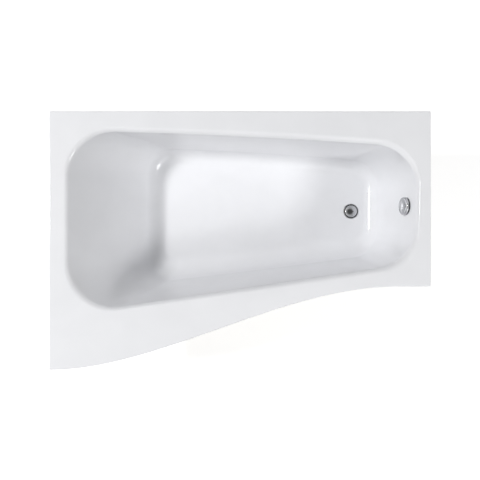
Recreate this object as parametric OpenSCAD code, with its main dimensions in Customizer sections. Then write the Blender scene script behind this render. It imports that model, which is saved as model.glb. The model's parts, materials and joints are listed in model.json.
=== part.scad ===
// P shaped shower bath: a reinforced acrylic shell on a steel cradle with adjustable feet,
// with a rotary pop-up waste and overflow set and a trap.
// X runs from the head end to the foot end, Y from the open side to the wall side, Z up.
// The origin is on the ground, midway along the length and the full width.

/* [Outline] */
// Length of the bath
bath_l = 1500; // [1450:10:1600]
// Width at the head end, where the front swings out
wide_w = 1017; // [990:1:1040]
// Width at the foot end
narrow_w = 690; // [680:1:720]
// Height of the rim above the ground
rim_h = 560; // [540:5:620]
// Length of the straight front edge at the foot end
front_straight = 127; // [80:1:200]
// Ease of the front curve at the head end
ease_head = 432; // [380:1:480]
// Ease of the front curve at the foot end
ease_foot = 464; // [400:1:500]
// Depth of the lip that turns down round the rim
lip_h = 40; // [32:1:60]
// Rounding of the rim's outer edge
lip_round = 4; // [2:0.5:6]
// Thickness of the shell
shell_t = 5; // [4:0.5:7]

/* [Deck] */
// Deck width along the head end
deck_head = 57; // [50:1:75]
// Deck width along the wall at the head end
deck_wall_head = 52; // [50:1:70]
// Deck width along the wall at the foot end
deck_wall_foot = 112; // [100:1:125]
// Deck width along the foot end at the wall
deck_foot_wall = 31; // [31:1:45]
// Deck width along the foot end at the front
deck_foot_front = 53; // [46:1:65]
// Deck width along the front at the foot end
deck_front_foot = 73; // [65:1:90]
// Deck width along the front at the head end
deck_front_head = 200; // [185:1:220]

/* [Well] */
// Plan radius of the well's corner by the wall at the head end
round_wall_head = 190; // [150:1:210]
// Plan radius of the well's corner by the wall at the foot end
round_wall_foot = 182; // [150:1:200]
// Plan radius of the well's front corner at the foot end
round_front_foot = 156; // [130:1:180]
// Plan radius of the well's front corner at the head end
round_front_head = 187; // [150:1:200]
// How far the well's edge bows out towards the wall
bow_wall = 8; // [0:1:12]
// How far the well's edge bows out towards the front
bow_front = 2; // [0:1:6]
// Drop of the rolled band round the well's edge
band_drop = 15; // [10:1:20]
// Width of the rolled band at the head end
band_head = 22; // [16:1:26]
// Width of the rolled band on the wall side at the head end
band_wall_head = 18; // [14:1:26]
// Width of the rolled band on the wall side at the foot end
band_wall_foot = 24; // [16:1:28]
// Width of the rolled band at the foot end by the wall
band_foot_wall = 19; // [16:1:24]
// Width of the rolled band at the foot end by the front
band_foot_front = 3; // [3:1:12]
// Width of the rolled band on the front side at the foot end
band_front_foot = 22; // [16:1:26]
// Width of the rolled band on the front side at the head end
band_front_head = 17; // [14:1:26]
// Plan radius of the corners below the rolled band
wall_round = 176; // [165:1:185]
// Depth of the bath from the rim to the waste
bath_depth = 400; // [370:5:420]
// Fall of the floor from the head end to the waste
floor_fall = 10; // [6:1:16]
// How far the sloping backrest runs in plan
run_head = 271; // [240:1:290]
// How far the backrest bulges above the floor
lumbar = 16; // [0:1:22]
// How far the wall side runs in plan
run_wall = 18; // [12:1:40]
// How far the foot end runs in plan
run_foot = 77; // [60:1:85]
// How far the front side runs in plan at the head end
run_front_head = 118; // [100:1:130]
// How far the front side runs in plan at the foot end
run_front_foot = 34; // [20:1:50]
// Plan radius of the floor's corners
floor_round = 120; // [110:1:135]
// Reach of the hollow between floor and backrest
cove_head = 55; // [45:1:70]
// Reach of the hollow between floor and wall side
cove_wall = 62; // [50:1:80]
// Reach of the hollow between floor and foot end
cove_foot = 50; // [42:1:60]
// Reach of the hollow between floor and front side
cove_front = 96; // [75:1:105]

/* [Boards and wall brackets] */
// Thickness of the base board
board_t = 18; // [15:1:22]
// Distance of the base board from the bath's head end
board_head_in = 460; // [455:1:470]
// Distance of the base board from the bath's foot end
board_foot_in = 320; // [310:1:350]
// Width that the base board gives up to the cove at each side
board_margin = 106; // [104:1:120]
// Thickness of the laminate that covers the base board
laminate_t = 2; // [1.5:0.5:4]
// Laminate beyond the board's edge
laminate_edge = 8; // [5:1:12]
// Thickness of the rim boards
rim_board_t = 18; // [15:1:20]
// Width of the rim boards at the wall and the front
rim_board_w = 34; // [28:1:36]
// Width of the rim boards at the two ends
rim_board_end_w = 24; // [20:1:26]
// Gap between the rim boards and the lip
rim_board_gap = 8; // [5:1:10]
// Distance of the first wall bracket from the bath's head end
bracket_head_in = 290; // [180:5:330]
// Distance of the second wall bracket from the bath's foot end
bracket_foot_in = 370; // [240:5:450]

/* [Cradle] */
// Distance of the head channel from the bath's head end
head_channel_in = 500; // [485:5:530]
// Distance of the foot channel from the bath's foot end
foot_channel_in = 450; // [410:5:470]
// Width of the channels
channel_w = 40; // [36:1:50]
// Height of the channels
channel_h = 25; // [22:1:30]
// Steel thickness of channels, centre bracket and wall brackets
steel_t = 2; // [1.5:0.5:3]
// How far the corner feet stand outside the floor's edges
foot_out = 24; // [15:1:30]
// Length of a channel beyond its feet
channel_end = 28; // [24:1:40]
// Diameter of the feet's studs
stud_d = 10; // [8:1:12]
// Diameter of the foot pads
pad_d = 52; // [44:1:60]
// Height of the foot pads
pad_h = 18; // [16:1:24]
// Place of the centre foot along the bath
centre_foot_x = 10; // [-40:5:60]
// Height of the centre bracket
centre_h = 48; // [44:1:54]

/* [Waste] */
// Distance of the waste from the bath's foot end
waste_foot_in = 232; // [220:1:250]
// Distance of the waste from the bath's wall side
waste_wall_in = 372.5; // [350:0.5:395]
// Diameter of the waste flange
flange_d = 70; // [66:1:76]
// Diameter of the plug's cap
plug_d = 55; // [52:1:58]
// Height of the plug's dome
plug_dome = 6; // [4:0.5:9]
// How far the knob lifts the plug
lift = 8; // [6:0.5:9]

/* [Overflow] */
// Depth of the overflow below the rim
overflow_drop = 95; // [85:1:120]
// Distance of the overflow from the bath's wall side
overflow_wall_in = 367.5; // [340:0.5:395]
// Diameter of the overflow knob
knob_d = 75; // [70:1:78]
// How far the knob stands out from the wall of the bath
knob_out = 16; // [14:0.5:20]
// Outer diameter of the overflow hose
hose_d = 30; // [26:1:32]
// Ribs along the overflow hose
hose_ribs = 48; // [30:1:60]
// Bend of the overflow hose and the control cable
hose_bend = 92; // [80:1:100]
// Diameter of the control cable
cable_d = 5; // [4:0.5:6]

/* [Trap] */
// Height of the trap's bowl
bowl_h = 74; // [66:1:78]
// Outer diameter of the trap's bowl
bowl_d = 92; // [88:1:100]
// Diameter of the waste pipe that the trap's outlet takes
pipe_d = 40; // [36:1:40]
// Turn of the trap's outlet away from the length of the bath
outlet_turn = 0; // [-40:5:40]

/* [Hidden] */
$fn = 64;

fit = 0.05;           // radial clearance of a running fit
slack = 0.3;          // clearance between pieces that only pass each other
eps = 0.01;           // overreach of a cut beyond the face it opens
corner_steps = 10;    // points round each corner of the well
side_steps = [8, 4, 14, 4];   // points along the wall side, foot end, front and head end
half_l = bath_l / 2;
half_w = wide_w / 2;
floor_z = rim_h - bath_depth;
front_foot_y = half_w - narrow_w;
waste_x = half_l - waste_foot_in;
waste_y = half_w - waste_wall_in;
overflow_y = half_w - overflow_wall_in;
head_channel_x = head_channel_in - half_l;
foot_channel_x = half_l - foot_channel_in;
board_head_x = board_head_in - half_l;
board_foot_x = half_l - board_foot_in;

// ---- plan outlines ----

function lerp(a, b, f) = a + (b - a) * f;
function unit(v) = v / norm(v);
function wrap(angle) = angle - 360 * floor((angle + 180) / 360);

// The front edge is one S curve from the head corner to the straight stretch at the foot end.
function bezier(a, b, c, d, t) =
    pow(1 - t, 3) * a + 3 * t * pow(1 - t, 2) * b + 3 * t * t * (1 - t) * c + pow(t, 3) * d;
function front_point(t) = let(end_x = half_l - front_straight)
    bezier([-half_l, -half_w], [-half_l + ease_head, -half_w], [end_x - ease_foot, front_foot_y],
        [end_x, front_foot_y], t);
function curve_share(x, low = 0, high = 1, left = 22) = let(mid = (low + high) / 2)
    left == 0 ? mid : front_point(mid).x < x ? curve_share(x, mid, high, left - 1)
        : curve_share(x, low, mid, left - 1);
function front_y(x) = x > half_l - front_straight ? front_foot_y : front_point(curve_share(x)).y;
function front_inset(x, inset) = let(step = 1, slope = (front_y(x + step) - front_y(x - step)) / (2 * step))
    front_y(x) + inset * sqrt(1 + slope * slope);

// Corners of the well run clockwise from the wall side at the head end.
rim_corners = [[-half_l + deck_head, half_w - deck_wall_head],
    [half_l - deck_foot_wall, half_w - deck_wall_foot],
    [half_l - deck_foot_front, front_foot_y + deck_front_foot],
    [-half_l + deck_head, -half_w + deck_front_head]];
rim_rounds = [round_wall_head, round_wall_foot, round_front_foot, round_front_head];
bows = [bow_wall, 0, bow_front, 0];
wall_corners = [rim_corners[0] + [band_head, -band_wall_head],
    rim_corners[1] + [-band_foot_wall, -band_wall_foot],
    rim_corners[2] + [-band_foot_front, band_front_foot],
    rim_corners[3] + [band_head, band_front_head]];
wall_rounds = wall_round * [1, 1, 1, 1];
floor_corners = [wall_corners[0] + [run_head, -run_wall], wall_corners[1] + [-run_foot, -run_wall],
    wall_corners[2] + [-run_foot, run_front_foot], wall_corners[3] + [run_head, run_front_head]];
floor_rounds = floor_round * [1, 1, 1, 1];
coves = [cove_wall, cove_foot, cove_front, cove_head];

function corner_arc(p, a, b, r) = let(to_a = unit(a - p), to_b = unit(b - p),
    half = acos(to_a * to_b) / 2, c = p + unit(to_a + to_b) * r / sin(half),
    s = p + to_a * r / tan(half) - c, e = p + to_b * r / tan(half) - c,
    start = atan2(s.y, s.x), sweep = wrap(atan2(e.y, e.x) - start))
    [for (k = [0:corner_steps]) c + r * [cos(start + sweep * k / corner_steps),
        sin(start + sweep * k / corner_steps)]];
function side_between(a, b, bow, steps) = let(out = unit([a.y - b.y, b.x - a.x]))
    [for (k = [1:steps - 1]) let(f = k / steps) lerp(a, b, f) + out * bow * 4 * f * (1 - f)];
// A ring of points round a quadrilateral with round corners and bowed sides.
function ring(p, r, bow) = let(arcs = [for (k = [0:3])
    corner_arc(p[k], p[(k + 3) % 4], p[(k + 1) % 4], r[k])])
    [for (k = [0:3]) each concat(arcs[k],
        side_between(arcs[k][corner_steps], arcs[(k + 1) % 4][0], bow[k], side_steps[k]))];

rim_ring = ring(rim_corners, rim_rounds, bows);
wall_ring = ring(wall_corners, wall_rounds, bows * 0.7);
floor_ring = ring(floor_corners, floor_rounds, bows * 0.5);
n = len(rim_ring);

// The point of the bath's outline that belongs to each point of a ring.
side_spans = [for (k = [0:3]) corner_steps + side_steps[k]];
span_starts = [for (k = [0:3]) k == 0 ? 0 : k == 1 ? side_spans[0]
    : k == 2 ? side_spans[0] + side_spans[1] : side_spans[0] + side_spans[1] + side_spans[2]];
function outline_side(u) = u >= span_starts[3] ? 3 : u >= span_starts[2] ? 2
    : u >= span_starts[1] ? 1 : 0;
function outline_point(i, inset) = let(u = (i - corner_steps / 2 + n) % n, k = outline_side(u),
    f = (u - span_starts[k]) / side_spans[k], x = half_l - inset, y = half_w - inset)
    k == 0 ? [lerp(-x, x, f), y]
        : k == 1 ? [x, lerp(y, front_inset(x, inset), f)]
        : k == 2 ? [lerp(x, -x, f), front_inset(lerp(x, -x, f), inset)]
        : [-x, lerp(front_inset(-x, inset), y, f)];
function outline_row(inset, z) = [for (i = [0:n - 1]) let(p = outline_point(i, inset)) [p.x, p.y, z]];

// ---- the shell as one closed skin of rows ----

function floor_at(x) = floor_z + floor_fall * (waste_x - x) / (waste_x - floor_corners[0].x);
function at_z(p, z) = [p.x, p.y, z];
function ring_in(r, i) = let(d = unit(r[(i + 1) % n] - r[(i + n - 1) % n])) [d.y, -d.x];
// A size with one value for each side, which changes smoothly round each corner.
function side_mix(i, sizes) = let(u = (i - corner_steps / 2 + n) % n, k = outline_side(u),
    v = u - span_starts[k], half = corner_steps / 2,
    before = sizes[(k + 3) % 4], after = sizes[(k + 1) % 4])
    v < half ? lerp((before + sizes[k]) / 2, sizes[k], v / half)
        : v > side_spans[k] - half ? lerp(sizes[k], (after + sizes[k]) / 2,
            (v - side_spans[k] + half) / half)
        : sizes[k];
function cove_at(i) = side_mix(i, coves);
band_steps = 4;
bend_steps = 3;
cove_steps = 6;
function band_point(i, t) = let(a = at_z(rim_ring[i], rim_h), c = crease(i),
    b = at_z(lerp(a, c, 0.45), rim_h))
    (1 - t) * (1 - t) * a + 2 * t * (1 - t) * b + t * t * c;
function floor_edge(i) = at_z(floor_ring[i], floor_at(floor_ring[i].x));
function crease(i) = at_z(wall_ring[i], rim_h - band_drop);
// The wall bends a little above the hollow, where the backrest stands further in.
bend_leg = 30;
function wall_bend(i) = let(e = floor_edge(i), in = ring_in(floor_ring, i) * side_mix(i, [0, 0, 0, lumbar]))
    e + unit(crease(i) - e) * (cove_at(i) + bend_leg) + [in.x, in.y, 0];
function cove_legs(i) = let(e = floor_edge(i), inner = floor_ring[i] + ring_in(floor_ring, i) * cove_at(i))
    [e + unit(wall_bend(i) - e) * cove_at(i), e, at_z(inner, floor_at(inner.x))];
function cove_point(i, t) = let(p = cove_legs(i),
    w = sqrt((1 - unit(p[0] - p[1]) * unit(p[2] - p[1])) / 2),
    a = (1 - t) * (1 - t), b = 2 * w * t * (1 - t), c = t * t)
    (a * p[0] + b * p[1] + c * p[2]) / (a + b + c);
function bend_point(i, t) = let(b = wall_bend(i), a = b + unit(crease(i) - b) * bend_leg)
    (1 - t) * (1 - t) * a + 2 * t * (1 - t) * b + t * t * cove_legs(i)[0];

band_rows = [for (k = [0:band_steps]) [for (i = [0:n - 1]) band_point(i, k / band_steps)]];
wall_rows = concat([[for (i = [0:n - 1]) lerp(crease(i), bend_point(i, 0), 0.5)]],
    [for (k = [0:bend_steps]) [for (i = [0:n - 1]) bend_point(i, k / bend_steps)]]);
cove_rows = [for (k = [1:cove_steps]) [for (i = [0:n - 1]) cove_point(i, k / cove_steps)]];
well_rows = concat(band_rows, wall_rows, cove_rows);
last_row = len(well_rows) - 1;
// The underside follows the well at the shell's thickness.
function row_normal(j, i) = let(low = well_rows[min(j + 1, last_row)][i],
    high = well_rows[max(j - 1, 0)][i])
    unit(cross(well_rows[j][(i + 1) % n] - well_rows[j][(i + n - 1) % n], low - high));
function under_point(j, i) = j == last_row ? well_rows[j][i] - [0, 0, shell_t]
    : j == 0 ? at_z(well_rows[j][i], rim_h - shell_t)
    : well_rows[j][i] + shell_t * row_normal(j, i);
under_rows = [for (j = [last_row:-1:0]) if (j != 1 && j != 2) [for (i = [0:n - 1]) under_point(j, i)]];

lip_rows = [outline_row(shell_t, rim_h - shell_t), outline_row(shell_t, rim_h - lip_h),
    outline_row(0, rim_h - lip_h), outline_row(0, rim_h - lip_round),
    outline_row(lip_round * (1 - cos(45)), rim_h - lip_round * (1 - sin(45))),
    outline_row(lip_round, rim_h)];
skin_rows = concat(under_rows, lip_rows, well_rows);
floor_middle = [(floor_corners[0].x + floor_corners[1].x) / 2,
    (floor_corners[0].y + floor_corners[3].y) / 2];
function middle_point(drop) = at_z(floor_middle, floor_at(floor_middle.x) - drop);

module skin(rows, start, end) {
    r = len(rows);
    points = concat([start], [for (row = rows) each row], [end]);
    faces = concat(
        [for (i = [0:n - 1]) [0, 1 + i, 1 + (i + 1) % n]],
        [for (j = [0:r - 2]) for (i = [0:n - 1]) let(a = 1 + j * n + i, b = 1 + j * n + (i + 1) % n)
            each [[a, a + n, b + n], [a, b + n, b]]],
        [for (i = [0:n - 1]) [1 + r * n, 1 + (r - 1) * n + (i + 1) % n, 1 + (r - 1) * n + i]]);
    polyhedron(points, faces);
}

// ---- levels of the waste set, from the waste's seat downwards ----

hole_d = 54;                                // holes in the shell for waste and overflow
seat_z = floor_z - 1;                       // level seat on the floor
under_seat_z = floor_z - shell_t + 0.6;     // level seat below the floor
cut_h = 14;                                 // depth of the cutters for seats and holes
seat_room = 1;                              // room round a flange on its seat
knob_room = 4;                              // room round the knob for the fingers
under_seat_room = 2;                        // room round a flange behind the shell
seal_t = 1.5;
flange_z = seat_z + seal_t;
flange_rise = 2.6;
throat_r = 22;
throat_t = 3;
throat_len = 26;
body_seal_t = 3;
body_top_z = under_seat_z - body_seal_t;
body_flange_r = 43;
body_flange_t = 4;
body_r = 31;
chamber_r = 27;
chamber_low_z = body_top_z - 46.6;
tail_r = 26.5;
tail_low_z = chamber_low_z - 12;
nut_low_z = tail_low_z - 10;
bowl_top_z = nut_low_z - 2;
bowl_low_z = bowl_top_z - bowl_h;
bowl_wall = 3;
hub_low_z = flange_z - throat_len + 1;
hub_h = 12;
pin_r = 3;
pin_top_z = hub_low_z + hub_h + 3;
rocker_arm = 14;
crank_arm = 11;              // the rocker's lower arm, which the cable pushes
rocker_z = chamber_low_z + 16;
nose_r = 4;
nose_z = rocker_z - lift / 2;
pin_low_z = nose_z + nose_r + fit;
port_y = waste_y + 12;                      // hose port of the waste body
port_z = chamber_low_z + 15;
gland_y = waste_y - 17;                     // cable gland of the waste body
gland_z = rocker_z - crank_arm;
spout_r = hose_d / 2 - 3;                   // spouts that the hose is pushed on
spout_t = 2.5;
spout_in = 20;                              // start of the waste body's spout, from its axis
waste_spout_l = 38;
hose_grip = 14;                             // length of hose pushed on a spout
gland_in = 18;                              // start of the waste body's gland, from its axis
gland_l = 26;
gland_r = 7;
gland_seat = 8;                             // length of cable held in a gland
core_r = 2;                                 // bore for the cable's core
rocker_pin_r = 2;
outlet_z = bowl_top_z - 25;

// ---- shared shapes ----

// The section of a strip bent along a path in the plane, with round bends.
function bend(p, a, b, r) = let(u = unit(a - p), v = unit(b - p), half = acos(u * v) / 2,
    c = p + unit(u + v) * r / sin(half), side = sign(cross([u.x, u.y, 0], [v.x, v.y, 0]).z),
    s = p + u * r / tan(half) - c, e = p + v * r / tan(half) - c, start = atan2(s.y, s.x),
    sweep = wrap(atan2(e.y, e.x) - start), steps = 4)
    [for (k = [0:steps]) let(angle = start + sweep * k / steps)
        [c + r * [cos(angle), sin(angle)], side * [cos(angle), sin(angle)]]];
function strip_line(path, r) = let(last = len(path) - 1,
    first_dir = unit(path[1] - path[0]), last_dir = unit(path[last] - path[last - 1]))
    concat([[path[0], [-first_dir.y, first_dir.x]]],
        [for (k = [1:last - 1]) each bend(path[k], path[k - 1], path[k + 1], r)],
        [[path[last], [-last_dir.y, last_dir.x]]]);
module bent_strip(path, t, r) {
    line = strip_line(path, r);
    polygon(concat([for (p = line) p[0] + p[1] * t / 2],
        [for (k = [len(line) - 1:-1:0]) line[k][0] - line[k][1] * t / 2]));
}

module ring_solid(outer_d, inner_d, h) {
    difference() {
        cylinder(d = outer_d, h = h);
        translate([0, 0, -eps]) cylinder(d = inner_d, h = h + 2 * eps);
    }
}

module hex_nut(across, bore, h) {
    difference() {
        cylinder(d = across / cos(30), h = h, $fn = 6);
        translate([0, 0, -eps]) cylinder(d = bore, h = h + 2 * eps);
    }
}

// A union nut with grip ribs, open below its threaded bore.
module grip_nut(outer_d, bore, h, ribs, rib_r = 2) {
    difference() {
        union() {
            cylinder(d = outer_d, h = h);
            for (k = [0:ribs - 1]) rotate(k * 360 / ribs) translate([outer_d / 2 - rib_r / 3, 0, 0])
                cylinder(r = rib_r, h = h * 0.8, $fn = 16);
        }
        translate([0, 0, -eps]) cylinder(d = bore, h = h + 2 * eps);
    }
}

// A screw that points up, with its head's flat side at the origin.
module wood_screw(length) {
    translate([0, 0, -screw_head_h]) cylinder(d = screw_head_d, h = screw_head_h);
    cylinder(d = screw_d, h = length);
}

// A tube along a level run, a quarter bend and a rise, as stations [place, direction].
function route(start, level, r, rise, steps) = concat(
    [for (k = [0:steps[0]]) [start + [level * k / steps[0], 0, 0], [1, 0, 0]]],
    [for (k = [1:steps[1]]) let(a = 90 * k / steps[1])
        [start + [level + r * sin(a), 0, r * (1 - cos(a))], [cos(a), 0, sin(a)]]],
    [for (k = [1:steps[2]]) [start + [level + r, 0, r + rise * k / steps[2]], [0, 0, 1]]]);
// Rings of a tube whose Y drifts evenly from its start to its end.
function tube_ring(station, r, sides, drift, share) = let(p = station[0] + [0, drift * share, 0],
    d = station[1], across = [-d.z, 0, d.x])
    [for (k = [0:sides - 1]) p + r * (cos(360 * k / sides) * across + sin(360 * k / sides) * [0, 1, 0])];
// Skin over rows of equal rings: ends closed by flat caps, or row joined to row all the way round.
module tube_skin(rings, looped = false) {
    sides = len(rings[0]);
    r = len(rings);
    caps = looped ? [] : [[for (k = [0:sides - 1]) k], [for (k = [sides - 1:-1:0]) (r - 1) * sides + k]];
    polyhedron([for (row = rings) each row], concat(caps,
        [for (j = [0:r - (looped ? 1 : 2)]) for (i = [0:sides - 1])
            let(a = j * sides + i, b = j * sides + (i + 1) % sides,
                c = (j + 1) % r * sides + i, d = (j + 1) % r * sides + (i + 1) % sides)
            each [[a, c, d], [a, d, b]]]));
}

// ---- shell and boards ----

module bath_shell() {
    color("white") difference() {
        skin(skin_rows, middle_point(shell_t), middle_point(0));
        waste_place(seat_z) cylinder(d = flange_d + 2 * seat_room, h = cut_h);
        waste_place(under_seat_z - cut_h) cylinder(r = body_flange_r + under_seat_room, h = cut_h);
        waste_place(floor_z - cut_h) cylinder(d = hole_d, h = 2 * cut_h);
        overflow_place(-cut_h) cylinder(d = hole_d, h = 2 * cut_h);
        overflow_place(0) cylinder(r = knob_d / 2 + knob_room, h = cut_h);
        overflow_place(-wall_seat_t - cut_h) cylinder(r = back_flange_r + under_seat_room, h = cut_h);
    }
}

// Plan of the base board, kept inside the flat of the floor.
function board_side_y(k, x) = let(a = k == 0 ? floor_corners[0] : floor_corners[3],
    b = k == 0 ? floor_corners[1] : floor_corners[2]) lerp(a.y, b.y, (x - a.x) / (b.x - a.x));
module board_plan(grow) {
    polygon([[board_head_x - grow, board_side_y(0, board_head_x) - board_margin + grow],
        [board_foot_x + grow, board_side_y(0, board_foot_x) - board_margin + grow],
        [board_foot_x + grow, board_side_y(3, board_foot_x) + board_margin - grow],
        [board_head_x - grow, board_side_y(3, board_head_x) + board_margin - grow]]);
}
board_top_z = floor_z - shell_t - 4;
board_low_z = board_top_z - board_t;
cradle_z = board_low_z - laminate_t;
bed_gap = 0.02;       // keeps the laminate's bed just clear of the shell
function under_floor(x) = floor_at(x) - shell_t - bed_gap;

module base_board() {
    color("burlywood") translate([0, 0, board_low_z]) linear_extrude(board_t) board_plan(0);
}

// The laminate beds the level board to the sloping floor and covers it.
module base_laminate() {
    low_x = board_head_x - laminate_edge;
    high_x = board_foot_x + laminate_edge;
    color("wheat") difference() {
        intersection() {
            translate([0, 0, cradle_z]) linear_extrude(floor_z) board_plan(laminate_edge);
            translate([0, bath_l / 2, 0]) rotate([90, 0, 0]) linear_extrude(bath_l)
                polygon([[low_x - 1, cradle_z], [high_x + 1, cradle_z],
                    [high_x + 1, under_floor(high_x + 1)], [low_x - 1, under_floor(low_x - 1)]]);
        }
        translate([0, 0, board_low_z]) linear_extrude(board_t) board_plan(0);
    }
}

rim_board_z = rim_h - shell_t - rim_board_t;
rim_board_in = shell_t + rim_board_gap;
end_board_in = shell_t + rim_board_gap / 2;
wall_board_ends = [150, 210];     // bare deck beyond the wall board at the head and the foot end
front_board_ends = [60, 180];     // and beyond the front board

module rim_board_wall() {
    low_x = -half_l + wall_board_ends[0];
    color("burlywood") translate([low_x, half_w - rim_board_in - rim_board_w, rim_board_z])
        cube([half_l - wall_board_ends[1] - low_x, rim_board_w, rim_board_t]);
}

module rim_board_head() {
    low_y = -half_w + deck_front_head + round_front_head / 2;
    high_y = half_w - deck_wall_head - round_wall_head / 2;
    color("burlywood") translate([-half_l + end_board_in, low_y, rim_board_z])
        cube([rim_board_end_w, high_y - low_y, rim_board_t]);
}

module rim_board_foot() {
    low_y = front_foot_y + deck_front_foot + round_front_foot;
    high_y = half_w - deck_wall_foot - round_wall_foot / 3;
    color("burlywood") translate([half_l - end_board_in - rim_board_end_w, low_y, rim_board_z])
        cube([rim_board_end_w, high_y - low_y, rim_board_t]);
}

// The front board is sawn to the curve of the front edge.
module rim_board_front() {
    low_x = -half_l + front_board_ends[0];
    high_x = half_l - front_board_ends[1];
    steps = 16;
    xs = [for (k = [0:steps]) lerp(low_x, high_x, k / steps)];
    color("burlywood") translate([0, 0, rim_board_z]) linear_extrude(rim_board_t)
        polygon(concat([for (x = xs) [x, front_inset(x, rim_board_in)]],
            [for (k = [steps:-1:0]) [xs[k], front_inset(xs[k], rim_board_in + rim_board_w)]]));
}

// ---- cradle and feet ----

function foot_wall_y(x) = board_side_y(0, x) + foot_out;
function foot_front_y(x) = board_side_y(3, x) - foot_out;
feet = [[head_channel_x, foot_wall_y(head_channel_x)], [head_channel_x, foot_front_y(head_channel_x)],
    [foot_channel_x, foot_wall_y(foot_channel_x)], [foot_channel_x, foot_front_y(foot_channel_x)],
    [centre_foot_x, (foot_wall_y(centre_foot_x) + foot_front_y(centre_foot_x)) / 2]];
stud_low_z = 5;
stud_top_z = cradle_z + 34;
centre_stud_top_z = cradle_z - 13;
nut_h = 8;
nut_across = 1.7 * stud_d;
channel_screw_ins = [90, 150];      // channel screws, measured in from each foot
bend_r = 3;
screw_d = 4.6;
screw_hole_d = 5;
screw_head_d = 9;
screw_head_h = 3;
cut_half = 10;                      // reach of a drill to either side of a steel sheet

// The channel is a steel strip bent into a box that is open below.
module channel(x) {
    low_y = foot_front_y(x) - channel_end;
    high_y = foot_wall_y(x) + channel_end;
    inner = channel_w / 2 - steel_t / 2;
    difference() {
        translate([x, high_y, cradle_z]) rotate([90, 0, 0]) linear_extrude(high_y - low_y)
            bent_strip([[-inner, -channel_h], [-inner, -steel_t / 2], [inner, -steel_t / 2],
                [inner, -channel_h]], steel_t, bend_r);
        for (y = [foot_front_y(x), foot_wall_y(x)]) translate([x, y, cradle_z - cut_half])
            cylinder(r = stud_d / 2 + fit, h = 2 * cut_half);
        for (y = channel_screw_ys(x)) translate([x, y, cradle_z - cut_half])
            cylinder(d = screw_hole_d, h = 2 * cut_half);
    }
}
function channel_screw_ys(x) = [for (d = channel_screw_ins) each
    [foot_front_y(x) + d, foot_wall_y(x) - d]];

module head_channel() {
    color("silver") channel(head_channel_x);
}

module foot_channel() {
    color("silver") channel(foot_channel_x);
}

centre_tab = 26;
centre_half = 30;
centre_screw_x = centre_half + centre_tab / 2 + 2;
module centre_bracket() {
    f = feet[4];
    color("silver") difference() {
        translate([f.x, f.y + channel_w / 2, cradle_z]) rotate([90, 0, 0]) linear_extrude(channel_w)
            bent_strip([[-centre_half - centre_tab, -steel_t / 2], [-centre_half, -steel_t / 2],
                [-centre_half, -centre_h], [centre_half, -centre_h], [centre_half, -steel_t / 2],
                [centre_half + centre_tab, -steel_t / 2]], steel_t, bend_r);
        translate([f.x, f.y, cradle_z - centre_h - cut_half])
            cylinder(r = stud_d / 2 + fit, h = 2 * cut_half);
        for (s = [-1, 1]) translate([f.x + s * centre_screw_x, f.y, cradle_z - cut_half])
            cylinder(d = screw_hole_d, h = 2 * cut_half);
    }
}

module channel_screws() {
    length = laminate_t + board_t - 4;
    color("gray") {
        for (x = [head_channel_x, foot_channel_x]) for (y = channel_screw_ys(x))
            translate([x, y, cradle_z - steel_t]) wood_screw(length + steel_t);
        for (s = [-1, 1]) translate([feet[4].x + s * centre_screw_x, feet[4].y, cradle_z - steel_t])
            wood_screw(length + steel_t);
    }
}

module lock_nuts() {
    color("silver") {
        for (k = [0:3]) translate([feet[k].x, feet[k].y, cradle_z]) {
            hex_nut(nut_across, stud_d + 2 * fit, nut_h);
            translate([0, 0, -steel_t - nut_h]) hex_nut(nut_across, stud_d + 2 * fit, nut_h);
        }
        translate([feet[4].x, feet[4].y, cradle_z - centre_h + steel_t / 2]) {
            hex_nut(nut_across, stud_d + 2 * fit, nut_h);
            translate([0, 0, -steel_t - nut_h]) hex_nut(nut_across, stud_d + 2 * fit, nut_h);
        }
    }
}

module foot_pad(k) {
    r = pad_d / 2;
    color("dimgray") translate([feet[k].x, feet[k].y, 0]) difference() {
        union() {
            rotate_extrude() polygon([[0, 0], [r - 2, 0], [r, 2], [r, 4.5], [r - 3, 6.5],
                [stud_d / 2 + 6, 8], [stud_d / 2 + 5, pad_h], [0, pad_h]]);
            for (a = [0:60:300]) rotate(a) translate([stud_d / 2 + 4, -1.25, 6])
                cube([r - stud_d / 2 - 9, 2.5, 5]);
        }
        translate([0, 0, stud_low_z]) cylinder(d = stud_d + 2 * fit, h = pad_h);
    }
}

module foot_stud(k) {
    top = k == 4 ? centre_stud_top_z : stud_top_z;
    chamfer = 1;
    color("silver") translate([feet[k].x, feet[k].y, 0]) rotate_extrude()
        polygon([[0, stud_low_z], [stud_d / 2 - chamfer, stud_low_z], [stud_d / 2, stud_low_z + chamfer],
            [stud_d / 2, top - chamfer], [stud_d / 2 - chamfer, top], [0, top]]);
}

module foot_pad_head_wall() { foot_pad(0); }
module foot_pad_head_front() { foot_pad(1); }
module foot_pad_foot_wall() { foot_pad(2); }
module foot_pad_foot_front() { foot_pad(3); }
module foot_pad_centre() { foot_pad(4); }
module foot_stud_head_wall() { foot_stud(0); }
module foot_stud_head_front() { foot_stud(1); }
module foot_stud_foot_wall() { foot_stud(2); }
module foot_stud_foot_front() { foot_stud(3); }
module foot_stud_centre() { foot_stud(4); }

// ---- wall brackets ----

bracket_w = 40;
bracket_drop = 96;
bracket_xs = [bracket_head_in - half_l, half_l - bracket_foot_in];
slot_gap = 28;
slot_l = 14;
slot_w = 6.5;
bracket_low_z = rim_board_z - bracket_drop;
slot_z = bracket_low_z + 30;
bracket_tab = 40;
bracket_screw_in = 24;
bracket_screw_half = 12;

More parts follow.
